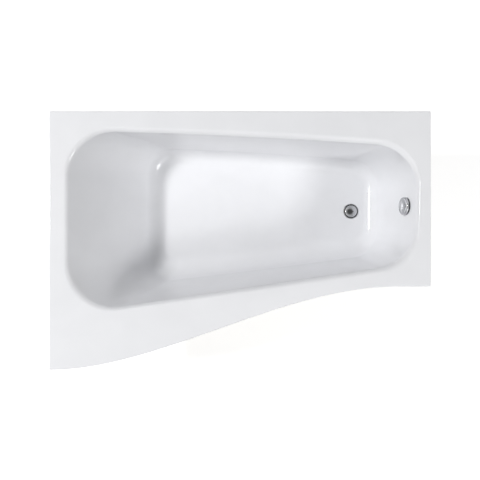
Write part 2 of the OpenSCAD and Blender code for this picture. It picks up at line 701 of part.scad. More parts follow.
// A bent strap: a tab below the rim board, a leg inside the lip and a leg at the wall.
module wall_bracket(x) {
    tab_z = rim_board_z - steel_t / 2;
    inner_y = half_w - shell_t - slack - steel_t / 2;
    outer_y = half_w - steel_t / 2;
    jog_z = rim_h - lip_h - slack - 2 - steel_t / 2;
    color("silver") difference() {
        translate([x - bracket_w / 2, 0, 0]) rotate([90, 0, 90]) linear_extrude(bracket_w)
            bent_strip([[inner_y - bracket_tab, tab_z], [inner_y, tab_z], [inner_y, jog_z], [outer_y, jog_z],
                [outer_y, bracket_low_z]], steel_t, 0.8 * steel_t);
        for (d = [-1, 1]) {
            translate([x + d * bracket_screw_half, inner_y - bracket_screw_in, tab_z - cut_half])
                cylinder(d = screw_hole_d, h = 2 * cut_half);
            for (e = [-1, 1]) translate([x, half_w + cut_half, slot_z + d * slot_gap / 2
                + e * (slot_l - slot_w) / 2]) rotate([90, 0, 0]) cylinder(d = slot_w, h = 2 * cut_half);
            translate([x - slot_w / 2, half_w - cut_half, slot_z + d * slot_gap / 2 - (slot_l - slot_w) / 2])
                cube([slot_w, 2 * cut_half, slot_l - slot_w]);
        }
    }
}

module wall_bracket_head() { wall_bracket(bracket_xs[0]); }
module wall_bracket_foot() { wall_bracket(bracket_xs[1]); }

module bracket_screws() {
    inner_y = half_w - shell_t - slack - steel_t / 2;
    color("gray") for (x = bracket_xs) for (d = [-1, 1])
        translate([x + d * bracket_screw_half, inner_y - bracket_screw_in, rim_board_z - steel_t])
            wood_screw(rim_board_t - 3 + steel_t);
}

// ---- waste ----

module waste_place(z) {
    translate([waste_x, waste_y, z]) children();
}

// Chrome flange with a threaded throat, and a spider that guides the lift pin.
module waste_flange() {
    r = flange_d / 2;
    color("lightgray") waste_place(flange_z) difference() {
        union() {
            rotate_extrude() polygon([[throat_r, -throat_len], [throat_r + throat_t, -throat_len],
                [throat_r + throat_t, 0], [r, 0], [r, 0.8], [r - 0.7, 1.8], [r - 2.5, flange_rise],
                [plug_d / 2 + 1.4, flange_rise], [plug_d / 2 + 0.4, 1], [throat_r + 0.8, 1], [throat_r, 0]]);
            translate([0, 0, hub_low_z - flange_z]) cylinder(r = 7, h = hub_h);
            for (a = [45:90:315]) rotate(a) translate([5, -1.5, hub_low_z - flange_z])
                cube([throat_r - 4, 3, 8]);
        }
        translate([0, 0, -throat_len - 1]) cylinder(r = pin_r + fit, h = throat_len + 10);
    }
}

module flange_seal() {
    color("dimgray") waste_place(seat_z) ring_solid(flange_d - 4, hole_d, seal_t);
}

module body_seal() {
    color("dimgray") waste_place(body_top_z) ring_solid(2 * body_flange_r - 2, hole_d - 2, body_seal_t);
}

// Body below the floor: a flange, a chamber, a threaded tail, a hose spout and a cable gland.
module waste_body() {
    top = body_top_z;
    throat_low = flange_z - throat_len;
    rib_drop = 11;
    rib_t = 3;
    color("white") difference() {
        union() {
            waste_place(top - body_flange_t) cylinder(r = body_flange_r, h = body_flange_t);
            waste_place(chamber_low_z) cylinder(r = body_r, h = top - chamber_low_z);
            waste_place(tail_low_z) cylinder(r = tail_r, h = chamber_low_z - tail_low_z);
            for (a = [0:45:315]) waste_place(top - body_flange_t - rib_drop + 1) rotate(a + 22.5)
                translate([body_r - 1, -rib_t / 2, 0]) cube([rib_drop, rib_t, rib_drop]);
            translate([waste_x + spout_in, port_y, port_z]) rotate([0, 90, 0])
                cylinder(r = spout_r, h = waste_spout_l);
            translate([waste_x + spout_in, port_y, port_z]) rotate([0, 90, 0])
                cylinder(r = spout_r + 4, h = hose_grip);
            translate([waste_x + gland_in, gland_y, gland_z]) rotate([0, 90, 0])
                cylinder(r = gland_r, h = gland_l);
        }
        waste_place(throat_low) cylinder(r = throat_r + throat_t + fit, h = 60);
        waste_place(chamber_low_z) cylinder(r = chamber_r, h = throat_low - chamber_low_z - 1);
        waste_place(throat_low - 1 - eps) cylinder(r = throat_r + 1, h = 2);
        waste_place(tail_low_z - 1) cylinder(r = tail_r - 5, h = 20);
        translate([waste_x + spout_in - 5, port_y, port_z]) rotate([0, 90, 0])
            cylinder(r = spout_r - spout_t, h = waste_spout_l + 10);
        translate([waste_x + rocker_arm, gland_y, gland_z]) rotate([0, 90, 0])
            cylinder(r = core_r, h = gland_in + gland_l);
        translate([cable_start.x, gland_y, gland_z]) rotate([0, 90, 0])
            cylinder(d = cable_d + 2 * fit, h = 2 * gland_seat);
        translate([waste_x + rocker_arm, waste_y + body_r + 1, rocker_z]) rotate([90, 0, 0])
            cylinder(r = rocker_pin_r + fit, h = 2 * body_r + 2);
    }
}

module lift_pin() {
    color("silver") waste_place(pin_low_z) rotate_extrude() polygon([[0, 0], [pin_r - 0.6, 0],
        [pin_r, 0.6], [pin_r, pin_top_z - pin_low_z - 0.6], [pin_r - 0.6, pin_top_z - pin_low_z],
        [0, pin_top_z - pin_low_z]]);
}

// Bell crank: the cable pushes its lower arm and its nose raises the lift pin.
module rocker() {
    lever_w = 8;
    crank_t = 5;
    boss_l = 23;
    color("white") translate([waste_x + rocker_arm, waste_y, rocker_z]) rotate([90, 0, 0])
        translate([0, 0, -lever_w / 2]) difference() {
            union() {
                cylinder(r = 4.5, h = boss_l);
                translate([-rocker_arm, -lift / 2, 0]) cylinder(r = nose_r, h = lever_w);
                translate([-rocker_arm, -lift / 2 - 3, 0]) cube([rocker_arm, 5, lever_w]);
                translate([-crank_t / 2, -crank_arm - 2, boss_l - crank_t])
                    cube([crank_t, crank_arm + 2, crank_t]);
            }
            translate([0, 0, -1]) cylinder(r = rocker_pin_r + 2 * fit, h = boss_l + 2);
        }
}

module rocker_pin() {
    half = 24;
    color("silver") translate([waste_x + rocker_arm, waste_y + half, rocker_z]) rotate([90, 0, 0])
        cylinder(r = rocker_pin_r, h = 2 * half);
}

plug_low_z = flange_z + 3;
plug_rim_t = 1.5;
plug_screw_r = 3;
// Domed cap with a hollow underside and a threaded boss.
module plug_cap() {
    r = plug_d / 2;
    dome_r = (r * r + plug_dome * plug_dome) / (2 * plug_dome);
    color("lightgray") waste_place(plug_low_z) difference() {
        union() {
            intersection() {
                translate([0, 0, plug_rim_t + plug_dome - dome_r]) sphere(r = dome_r, $fn = 96);
                cylinder(r = r, h = 30);
            }
            cylinder(r = r, h = plug_rim_t);
        }
        translate([0, 0, -eps]) ring_solid(2 * r - 4, 17, 2);
        translate([0, 0, -eps]) cylinder(r = plug_screw_r + fit, h = 5);
    }
}

module plug_seal() {
    color("black") waste_place(flange_z + 1) ring_solid(2 * throat_r + 6, 13, plug_low_z - flange_z - 1);
}

// The screw sets the plug's height and stands on the lift pin.
module plug_screw() {
    color("gold") waste_place(0) {
        translate([0, 0, pin_top_z]) cylinder(r = plug_screw_r, h = plug_low_z + 4 - pin_top_z);
        translate([0, 0, plug_low_z - 7]) hex_nut(10, 2 * plug_screw_r - eps, 5);
    }
}

// ---- overflow ----

overflow_z = rim_h - overflow_drop;
// Place of the foot wall's inner face at the overflow.
wall_share = (overflow_drop - band_drop) / (bath_depth - band_drop);
wall_x = lerp(lerp(wall_corners[1].x, wall_corners[2].x,
    (wall_corners[1].y - overflow_y) / (wall_corners[1].y - wall_corners[2].y)),
    lerp(floor_corners[1].x, floor_corners[2].x,
    (floor_corners[1].y - overflow_y) / (floor_corners[1].y - floor_corners[2].y)), wall_share);
wall_seat_t = shell_t - 2;       // wall thickness left between the two level seats
inner_seat_x = wall_x + 1;

// Slope of the foot wall away from upright, on which the overflow sits square.
wall_tilt = atan(run_foot / (bath_depth - band_drop));

// Local Z points out of the wall towards the middle of the bath, from the inner seat.
module overflow_place(depth) {
    translate([inner_seat_x, overflow_y, overflow_z]) rotate([0, wall_tilt - 90, 0])
        translate([0, 0, depth]) children();
}

ring_d = knob_d - 2;
ring_t = 3;
knob_low = ring_t + 2.5;         // underside of the knob; water runs in below it
knob_face_t = 4;
spindle_top = knob_out - 5;
ring_barrel = 12;                // length of the ring's barrel in the wall
lug_y = 17;                      // the ring's two screws, to either side of the spindle
spindle_r = 4;
lug_screw_r = 2.2;
drum_r = 6;                      // radius at which the drum pulls the cable
back_seal_t = 3;
back_flange_r = 38;
back_flange_t = 4;
housing_r = 30;
housing_h = 34;
housing_t = 3;
body_face = wall_seat_t + back_seal_t;      // depths behind the inner seat
body_back = body_face + housing_h;
spout_x = inner_seat_x + 18;
gland_x = spout_x + 4;
spout_l = 40;
spout_low_z = overflow_z - 62;
collar_drop = 46;                // low ends of the spout's collar and the gland,
gland_drop = 42;                 // measured down from the spindle

// Fixed chrome ring with water slots and the spindle's bearing.
module overflow_ring() {
    ring_h = ring_barrel + ring_t;
    color("silver") overflow_place(-ring_barrel) difference() {
        union() {
            translate([0, 0, ring_barrel]) cylinder(d = ring_d, h = ring_t);
            cylinder(d = hole_d - 4, h = ring_barrel);
        }
        translate([0, 0, -1]) difference() {
            cylinder(d = hole_d - 9, h = ring_h + 2);
            cylinder(d = 16, h = ring_h + 2);
            for (a = [0:90:270]) rotate(a) translate([0, -2, 0]) cube([hole_d / 2, 4, ring_h + 2]);
            for (s = [-1, 1]) translate([0, s * lug_y, 0]) cylinder(r = 6, h = ring_h + 2);
        }
        translate([0, 0, -1]) cylinder(r = spindle_r + fit, h = ring_h + 2);
        for (s = [-1, 1]) translate([0, s * lug_y, -1])
            cylinder(r = lug_screw_r + slack + fit, h = ring_h + 2);
    }
}

// The knob is a cap with a dished grip face.
module overflow_knob() {
    r = knob_d / 2;
    depth = knob_out - knob_low;
    dish = 2;
    dish_r = 150;
    color("lightgray") overflow_place(knob_low) difference() {
        rotate_extrude() polygon([[0, 0], [r - 4, 0], [r - 1.5, 1], [r, 3.5], [r - 0.6, depth - 3],
            [r - 2.2, depth - 0.8], [r - 4.5, depth], [0, depth]]);
        translate([0, 0, -eps]) cylinder(r = r - 6, h = depth - knob_face_t);
        translate([0, 0, depth + dish_r - dish]) sphere(r = dish_r, $fn = 96);
    }
    color("lightgray") overflow_place(knob_low) difference() {
        cylinder(r = 2 * spindle_r, h = depth - dish - 1);
        translate([0, 0, -1]) cylinder(r = spindle_r + fit, h = spindle_top - knob_low + 1);
    }
}

module knob_spindle() {
    color("silver") overflow_place(housing_t - body_back)
        cylinder(r = spindle_r, h = body_back - housing_t + spindle_top);
}

// Grooved drum that pulls and pushes the cable's core.
module cable_drum() {
    color("white") overflow_place(10 - body_back) difference() {
        rotate_extrude() polygon([[spindle_r + fit, 0], [drum_r + 3, 0], [drum_r + 3, 2], [drum_r, 3.5],
            [drum_r + 3, 5], [drum_r + 3, 7], [spindle_r + fit, 7]]);
        translate([drum_r, -0.8, 3.5]) cube([drum_r, 1.6, 5]);
    }
}

module overflow_seal() {
    color("dimgray") overflow_place(-body_face) ring_solid(2 * back_flange_r, hole_d, back_seal_t);
}

// Housing behind the wall, with a spout down to the hose and a gland for the cable.
module overflow_body() {
    color("white") difference() {
        union() {
            overflow_place(-body_face - back_flange_t) cylinder(r = back_flange_r, h = back_flange_t);
            overflow_place(-body_back) cylinder(r = housing_r, h = housing_h);
            translate([spout_x, overflow_y, spout_low_z]) cylinder(r = spout_r, h = spout_l);
            translate([spout_x, overflow_y, overflow_z - collar_drop]) cylinder(r = spout_r + 3, h = 24);
            translate([gland_x, cable_top_y, overflow_z - gland_drop]) cylinder(r = gland_r, h = 34);
        }
        overflow_place(housing_t + 2 - body_back) cylinder(r = housing_r - housing_t, h = 60);
        overflow_place(housing_t - 1 - body_back) cylinder(r = spindle_r + fit, h = 10);
        translate([spout_x, overflow_y, spout_low_z - 1])
            cylinder(r = spout_r - spout_t, h = spout_l + 10);
        translate([gland_x, cable_top_y, overflow_z - gland_drop - 1])
            cylinder(r = core_r, h = gland_drop);
        translate([gland_x, cable_top_y, overflow_z - gland_drop - 1])
            cylinder(d = cable_d + 2 * fit, h = gland_seat + 1);
    }
    color("white") overflow_place(housing_t - body_back) for (s = [-1, 1]) difference() {
        translate([0, s * lug_y, 0]) cylinder(r = 5, h = body_back - housing_t - ring_barrel - slack);
        translate([0, s * lug_y, 5]) cylinder(r = lug_screw_r, h = body_back);
    }
}

module ring_screws() {
    shank_l = 30;
    color("silver") overflow_place(ring_t) for (s = [-1, 1]) translate([0, s * lug_y, 0]) {
        cylinder(r = 4.5, h = 2);
        translate([0, 0, -shank_l - ring_t]) cylinder(r = lug_screw_r - fit, h = shank_l + ring_t);
    }
}

// ---- hose and cable ----

cable_top_y = overflow_y - 22;
hose_start = [waste_x + spout_in + waste_spout_l - hose_grip, port_y, port_z];
hose_level = spout_x - hose_bend - hose_start.x;
hose_rise = spout_low_z + hose_grip - hose_start.z - hose_bend;
bend_l = PI / 2 * hose_bend;
hose_len = hose_level + bend_l + hose_rise;
hose_sides = 8;
// A station at any share of the hose's length.
function hose_station(f) = let(d = f * hose_len)
    d <= hose_level ? [hose_start + [d, 0, 0], [1, 0, 0]]
        : d <= hose_level + bend_l ? let(a = (d - hose_level) / bend_l * 90)
            [hose_start + [hose_level + hose_bend * sin(a), 0, hose_bend * (1 - cos(a))],
                [cos(a), 0, sin(a)]]
        : [hose_start + [hose_level + hose_bend, 0, hose_bend + d - hose_level - bend_l], [0, 0, 1]];
hose_end = 16;        // plain cuffs at both ends
hose_groove = 2;
hose_wall = 1;
cuff_r = (spout_r + fit) / cos(180 / hose_sides);   // clears the round spout at every flat

module overflow_hose() {
    drift = overflow_y - port_y;
    function hose_ring(f, r) = tube_ring(hose_station(f), r, hose_sides, drift,
        min(max((f - first) / (1 - 2 * first), 0), 1));
    span = (hose_len - 2 * hose_end) / hose_len;
    first = hose_end / hose_len;
    shares = concat([0, first * 0.9], [for (k = [0:hose_ribs - 1]) each
        [first + span * (k + 0.2) / hose_ribs, first + span * (k + 0.7) / hose_ribs]],
        [1 - first * 0.9, 1]);
    last = len(shares) - 1;
    outer = [for (k = [0:last]) hose_ring(shares[k],
        k < 2 || k > last - 2 || k % 2 == 0 ? hose_d / 2 : hose_d / 2 - hose_groove)];
    bore_r = hose_d / 2 - hose_groove - hose_wall;
    bore_steps = 12;
    bore_shares = concat([1, 1 - first * 0.95], [for (k = [bore_steps - 1:-1:1])
        lerp(first, 1 - first, k / bore_steps)], [first * 0.95, 0]);
    bore_last = len(bore_shares) - 1;
    bore = [for (k = [0:bore_last]) hose_ring(bore_shares[k],
        k < 2 || k > bore_last - 2 ? cuff_r : bore_r)];
    color("lightgray") tube_skin(concat(outer, bore), looped = true);
}

hose_nut_h = 18;
hose_nut_over = 5;    // how far a hose nut reaches beyond the hose's end
module hose_nut() {
    grip_nut(hose_d + 8, hose_d + 1, hose_nut_h, 12);
}

module hose_nut_waste() {
    color("white") translate([hose_start.x - hose_nut_over, port_y, port_z]) rotate([0, 90, 0])
        hose_nut();
}

module hose_nut_overflow() {
    color("white") translate([spout_x, overflow_y,
        spout_low_z + hose_grip + hose_nut_over - hose_nut_h]) hose_nut();
}

cable_start = [waste_x + gland_in + gland_l - gland_seat, gland_y, gland_z];
cable_level = gland_x - hose_bend - cable_start.x;
cable_rise = overflow_z - gland_drop + gland_seat - cable_start.z - hose_bend;
cable_sides = 8;

module control_cable() {
    line = route(cable_start, cable_level, hose_bend, cable_rise, [2, 12, 3]);
    last = len(line) - 1;
    color("black") tube_skin([for (k = [0:last]) tube_ring(line[k], cable_d / 2, cable_sides,
        cable_top_y - gland_y, k < 1 ? 0 : k > last - 1 ? 1 : (k - 1) / (last - 2))]);
}

// ---- trap ----

module trap_place(z) {
    translate([waste_x, waste_y, z]) rotate(outlet_turn) children();
}
nut_lip_h = 4;
collar_low_z = nut_low_z + nut_lip_h;
collar_h = 4;
collar_r = 25;
dip_r = 21;
dip_t = 2;
dip_low_z = 22;
neck_r = dip_r + 1.5;

module trap_seal() {
    color("black") trap_place(collar_low_z + collar_h) ring_solid(2 * collar_r, 2 * dip_r - 2,
        tail_low_z - collar_low_z - collar_h);
}

module trap_nut() {
    color("white") trap_place(nut_low_z) difference() {
        grip_nut(66, 2 * (neck_r + fit), 20, 16);
        translate([0, 0, nut_lip_h]) cylinder(r = tail_r + fit, h = 30);
    }
}

pipe_r = pipe_d / 2 + 0.2;
socket_l = 25;
socket_x = bowl_d / 2 + 6;
// Low bowl with a dip tube and a socket for the waste pipe.
module trap_body() {
    inner_r = bowl_d / 2 - bowl_wall;
    color("white") trap_place(0) {
        difference() {
            union() {
                rotate_extrude() polygon([[0, bowl_low_z], [bowl_d / 2 - 8, bowl_low_z],
                    [bowl_d / 2 - 2.3, bowl_low_z + 2.3], [bowl_d / 2, bowl_low_z + 8],
                    [bowl_d / 2, bowl_top_z - 2], [bowl_d / 2 - 2, bowl_top_z], [0, bowl_top_z]]);
                translate([0, 0, outlet_z]) rotate([0, 90, 0])
                    cylinder(r = pipe_r + 3, h = socket_x + socket_l);
                translate([0, 0, outlet_z]) rotate([0, 90, 0]) cylinder(r = pipe_r + 4.5, h = socket_x);
            }
            translate([0, 0, bowl_low_z + bowl_wall]) cylinder(r = inner_r,
                h = bowl_top_z - bowl_low_z - 2 * bowl_wall);
            translate([bowl_d / 2 - 8, 0, outlet_z]) rotate([0, 90, 0])
                cylinder(r = pipe_r - 2.5, h = bowl_d);
            translate([socket_x, 0, outlet_z]) rotate([0, 90, 0]) cylinder(r = pipe_r, h = 2 * socket_l);
            translate([0, 0, bowl_top_z - 10]) cylinder(r = dip_r - dip_t, h = 20);
        }
        difference() {
            union() {
                translate([0, 0, dip_low_z]) cylinder(r = dip_r, h = bowl_top_z - dip_low_z);
                translate([0, 0, bowl_top_z - eps])
                    cylinder(r = neck_r, h = nut_low_z + 6 - bowl_top_z);
                translate([0, 0, collar_low_z]) cylinder(r = collar_r, h = collar_h);
            }
            translate([0, 0, dip_low_z - 1]) cylinder(r = dip_r - dip_t, h = bowl_h + 20);
        }
    }
}

module outlet_seal() {
    color("black") trap_place(outlet_z) translate([socket_x + socket_l, 0, 0]) rotate([0, 90, 0])
        ring_solid(2 * pipe_r + 5, 2 * pipe_r, 4);
}

module outlet_nut() {
    color("white") trap_place(outlet_z) translate([socket_x + socket_l - 14, 0, 0]) rotate([0, 90, 0])
        difference() {
            grip_nut(2 * pipe_r + 13, 2 * pipe_r + 1, 21, 14);
            translate([0, 0, -1]) cylinder(r = pipe_r + 3 + fit, h = 19);
        }
}

bath_shell();
base_laminate();
base_board();
rim_board_wall();
rim_board_head();
rim_board_foot();
rim_board_front();
head_channel();
foot_channel();
centre_bracket();
channel_screws();
lock_nuts();
foot_pad_head_wall();
foot_pad_head_front();
foot_pad_foot_wall();
foot_pad_foot_front();
foot_pad_centre();
foot_stud_head_wall();
foot_stud_head_front();
foot_stud_foot_wall();
foot_stud_foot_front();
foot_stud_centre();
wall_bracket_head();
wall_bracket_foot();
bracket_screws();
waste_flange();
flange_seal();
waste_body();
body_seal();
lift_pin();
rocker();
rocker_pin();
plug_cap();
plug_seal();
plug_screw();
overflow_ring();
overflow_knob();
knob_spindle();
cable_drum();
overflow_seal();
overflow_body();
ring_screws();
overflow_hose();
hose_nut_overflow();
hose_nut_waste();
control_cable();
trap_seal();
trap_nut();
trap_body();
outlet_seal();
outlet_nut();
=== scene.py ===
# %% [markdown]
# # P shaped shower bath
# This lesson dresses a CAD model of a shower bath: a white acrylic shell with a broad head end, a
# chrome waste and overflow, and below it a steel cradle, boards, hose and trap. The CAD frame says
# where everything is and what moves, so every piece below is made in the frame's own metres.

# %% Load the CAD frame
import json
import math
import bmesh
import bpy
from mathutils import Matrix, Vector

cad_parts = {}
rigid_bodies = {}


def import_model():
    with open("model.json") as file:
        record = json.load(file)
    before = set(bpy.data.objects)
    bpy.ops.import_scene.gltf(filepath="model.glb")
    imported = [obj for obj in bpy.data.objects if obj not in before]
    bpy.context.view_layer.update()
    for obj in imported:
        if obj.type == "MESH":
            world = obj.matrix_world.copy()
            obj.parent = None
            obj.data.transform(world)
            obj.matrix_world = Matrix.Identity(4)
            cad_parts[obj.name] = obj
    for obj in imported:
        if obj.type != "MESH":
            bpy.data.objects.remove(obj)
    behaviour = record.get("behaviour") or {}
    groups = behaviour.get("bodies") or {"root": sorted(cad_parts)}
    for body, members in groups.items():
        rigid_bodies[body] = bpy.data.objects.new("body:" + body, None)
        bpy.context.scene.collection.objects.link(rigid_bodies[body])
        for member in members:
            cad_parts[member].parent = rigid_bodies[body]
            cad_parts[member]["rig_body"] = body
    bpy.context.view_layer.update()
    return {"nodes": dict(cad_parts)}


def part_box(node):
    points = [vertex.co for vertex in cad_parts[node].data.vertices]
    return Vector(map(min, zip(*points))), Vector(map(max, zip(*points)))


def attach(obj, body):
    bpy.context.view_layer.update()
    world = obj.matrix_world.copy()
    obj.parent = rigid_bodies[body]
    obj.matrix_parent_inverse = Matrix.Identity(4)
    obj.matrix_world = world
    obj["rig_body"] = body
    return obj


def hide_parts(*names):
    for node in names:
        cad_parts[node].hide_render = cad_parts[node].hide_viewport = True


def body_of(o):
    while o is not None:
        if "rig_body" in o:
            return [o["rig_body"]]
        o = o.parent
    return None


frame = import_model()
nodes = frame["nodes"]
rim_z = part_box("bath_shell")[1].z
print("CAD nodes:", len(nodes), "rim at", round(rim_z, 4), "m")

# %% [markdown]
# ## The camera
# The photograph looks straight down on the rim. Its small perspective, seen in how much smaller the
# floor is than the rim, puts the camera about two metres above the rim. The lens then follows from
# the width of the picture at the rim's level.

# %% Camera
camera_above_rim = 2.10
half_view = 0.942                     # half the picture's width, at the rim
sensor = 36.0                         # millimetres
camera_data = bpy.data.cameras.new("camera")
camera_data.sensor_width = sensor
camera_data.lens = sensor * camera_above_rim / (2 * half_view)
camera = bpy.data.objects.new("camera", camera_data)
camera.location = (0.0, 0.002, rim_z + camera_above_rim)
bpy.context.scene.collection.objects.link(camera)
bpy.context.scene.camera = camera
bpy.context.scene.view_settings.view_transform = "Standard"
print("lens", round(camera_data.lens, 1), "mm")

# %% [markdown]
# ## Node trees as Python expressions
# Shaders and Geometry Nodes are both node trees. Clicking them together is slow to read afterwards,
# so two small classes write them as formulas. A wire is one output socket, and sums or products of
# wires add Math nodes. A board is a tree, and its one method adds any other node.

# %% Wires and boards
class Wire:
    """An output socket that takes part in sums and products."""

    def __init__(self, board, socket):
        self.board, self.socket = board, socket

    def __add__(self, other):
        return self.board.maths("ADD", self, other)

    def __sub__(self, other):
        return self.board.maths("SUBTRACT", self, other)

    def __rsub__(self, other):
        return self.board.maths("SUBTRACT", other, self)

    def __mul__(self, other):
        return self.board.maths("MULTIPLY", self, other)

    def __truediv__(self, other):
        return self.board.maths("DIVIDE", self, other)

    def __rtruediv__(self, other):
        return self.board.maths("DIVIDE", other, self)

    __radd__ = __add__
    __rmul__ = __mul__

    def other(self, name):
        """Another output of the same node."""
        return Wire(self.board, self.socket.node.outputs[name])


class Board:
    """A node tree that grows one line at a time."""

    def __init__(self, tree):
        self.tree = tree

    def add(self, kind, settings=None, sockets=None, out=0):
        """A new node: its settings first, then values or wires for its sockets."""
        node = self.tree.nodes.new(kind)
        for name, value in (settings or {}).items():
            if name == "stops":
                elements = node.color_ramp.elements
                for place, colour in value[1:-1]:
                    elements.new(place).color = colour
                for element, stop in ((elements[0], value[0]), (elements[-1], value[-1])):
                    element.position, element.color = stop
            else:
                setattr(node, name, value)
        for key, value in (sockets or {}).items():
            for part in value if isinstance(value, list) else [value]:
                if isinstance(part, Wire):
                    self.tree.links.new(part.socket, node.inputs[key])
                else:
                    node.inputs[key].default_value = part
        return Wire(self, node.outputs[out] if node.outputs else None)

    def maths(self, operation, *values):
        return self.add("ShaderNodeMath", {"operation": operation}, dict(enumerate(values)))

    def vector(self, operation, *values, **named):
        sockets = dict(enumerate(values))
        sockets.update(named)
        return self.add("ShaderNodeVectorMath", {"operation": operation}, sockets)


print("wires and boards ready")

# %% [markdown]
# ## A finish starts from a shader and the object's own coordinates
# Every finish below is a Principled shader whose colour, roughness and bump vary over the surface.
# Patterns read Object coordinates, in metres, so one noise cell has the same size on a screw as on
# the whole shell. Values that are the same all over are set straight on the shader.

# %% The finish class
class Finish(Board):
    """A material with a Principled shader and helpers for its patterns."""

    def __init__(self, name, **constants):
        self.material = bpy.data.materials.new(name)
        self.material.use_nodes = True
        super().__init__(self.material.node_tree)
        self.tree.nodes.clear()
        self.shader = self.tree.nodes.new("ShaderNodeBsdfPrincipled")
        ending = self.tree.nodes.new("ShaderNodeOutputMaterial")
        self.tree.links.new(self.shader.outputs[0], ending.inputs[0])
        self.place = self.add("ShaderNodeTexCoord", out="Object")
        for key, value in constants.items():
            socket = key.replace("_", " ").title().replace("Ior", "IOR")
            self.shader.inputs[socket].default_value = value

    def feed(self, socket, wire):
        self.tree.links.new(wire.socket, self.shader.inputs[socket])

    def noise(self, cell, detail=3.0, rough=0.5, stretch=(1, 1, 1), twist=0.0):
        """Soft noise from 0 to 1 whose cells are about cell metres across."""
        place = self.add("ShaderNodeMapping", None, {"Vector": self.place, "Scale": stretch})
        return self.add("ShaderNodeTexNoise", None, {"Vector": place, "Scale": 1 / cell,
            "Detail": detail, "Roughness": rough, "Distortion": twist})

    def cells(self, size, feature="F1", out="Distance", stretch=(1, 1, 1), turn=(0, 0, 0)):
        place = self.add("ShaderNodeMapping", None, {"Vector": self.place, "Scale": stretch,
            "Rotation": turn})
        return self.add("ShaderNodeTexVoronoi", {"feature": feature}, {"Vector": place,
            "Scale": 1 / size}, out=out)

    def between(self, wire, low, high, to_low=0.0, to_high=1.0):
        """The wire's range from low to high, laid on another range and held inside it."""
        return self.add("ShaderNodeMapRange", None, {"Value": wire, "From Min": low,
            "From Max": high, "To Min": to_low, "To Max": to_high})

    def blend(self, share, first, second):
        """A colour between two colours or colour wires."""
        pick = [c if isinstance(c, Wire) else (*c, 1.0) for c in (first, second)]
        return self.add("ShaderNodeMix", {"data_type": "RGBA"}, {0: share, 6: pick[0], 7: pick[1]},
            out=2)

    def bump(self, height, depth, strength=1.0, under=None):
        """Normal from a height wire whose 0 to 1 stands for depth metres."""
        sockets = {"Height": height, "Distance": depth, "Strength": strength}
        if under:
            sockets["Normal"] = under
        return self.add("ShaderNodeBump", None, sockets)


print("finish class ready")

# %% [markdown]
# ## White acrylic
# The shell is a sheet of cast acrylic, drawn hot into a mould. It is glossy but never perfect: the
# drawn sheet keeps a faint ripple, handling leaves smears that dull the gloss, and cleaning leaves
# hairlines. Each of these is a noise of its real size: ripples of centimetres, smears of a hand's
# width, and hairlines under a millimetre wide.

# %% Acrylic
acrylic_white = (0.84, 0.845, 0.865)
acrylic_dull = (0.815, 0.82, 0.84)
smear_size, ripple_size, hairline_w, dust_size = 0.16, 0.045, 0.0011, 0.0025
ripple_h, hairline_h = 0.00012, 0.000004
acrylic = Finish("white_acrylic", roughness=0.10, ior=1.49, specular_ior_level=0.3,
    coat_weight=0.06, coat_roughness=0.03)
smears = acrylic.noise(smear_size, 4.0, 0.55, twist=0.4)
ripple = acrylic.noise(ripple_size, 1.0, 0.4)
hairlines = acrylic.noise(hairline_w, 2.0, 0.6, stretch=(0.04, 1.0, 1.0))
dust = acrylic.noise(dust_size, 2.0, 0.7)
acrylic.feed("Base Color",
    acrylic.blend(acrylic.between(smears, 0.35, 0.7), acrylic_white, acrylic_dull))
acrylic.feed("Roughness", acrylic.between(smears, 0.35, 0.75, 0.06, 0.13)
    + acrylic.between(hairlines, 0.62, 0.8, 0.0, 0.05)
    + acrylic.between(dust, 0.66, 0.8, 0.0, 0.05))
acrylic.feed("Normal", acrylic.bump(ripple, ripple_h, 0.5,
    acrylic.bump(hairlines, hairline_h, 0.35)))
print("acrylic ready")

# %% [markdown]
# ## Glass-fibre laminate
# The back of an acrylic bath is sprayed with chopped glass strands in polyester resin and rolled
# flat. Strands a few centimetres long lie every way, the resin is yellowish and translucent, and it
# gathers in thicker runs. Stretched Voronoi cells, turned three ways, make the strands.

# %% Glass-fibre laminate
resin_light = (0.72, 0.69, 0.58)
resin_deep = (0.58, 0.53, 0.40)
strand_pale = (0.80, 0.78, 0.70)
strand_w, strand_h, run_size, run_h = 0.0035, 0.0004, 0.05, 0.0025
laminate = Finish("glass_fibre_laminate", roughness=0.5, ior=1.55, coat_weight=0.2,
    coat_roughness=0.3)
strands = None
for angle in (0.3, 1.4, 2.5):
    lying = laminate.cells(strand_w, stretch=(0.10, 1.0, 1.0), turn=(0.4, 0.7, angle))
    layer = laminate.between(lying, 0.10, 0.42, 1.0, 0.0)
    strands = layer if strands is None else laminate.maths("MAXIMUM", strands, layer)
runs = laminate.noise(run_size, 4.0, 0.6, twist=0.6)
resin = laminate.blend(laminate.between(runs, 0.35, 0.65), resin_light, resin_deep)
laminate.feed("Base Color", laminate.blend(strands * 0.6, resin, strand_pale))
laminate.feed("Roughness", laminate.between(runs, 0.3, 0.7, 0.38, 0.62) + strands * 0.1)
laminate.feed("Normal", laminate.bump(strands, strand_h, 0.7, laminate.bump(runs, run_h, 0.8)))
print("laminate ready")

# %% [markdown]
# ## Pressed board
# The base and rim boards are pressed from wood flakes and glue. Large flakes show on the faces, in
# shades of the same wood, with fine dust between them, and the board is matt.

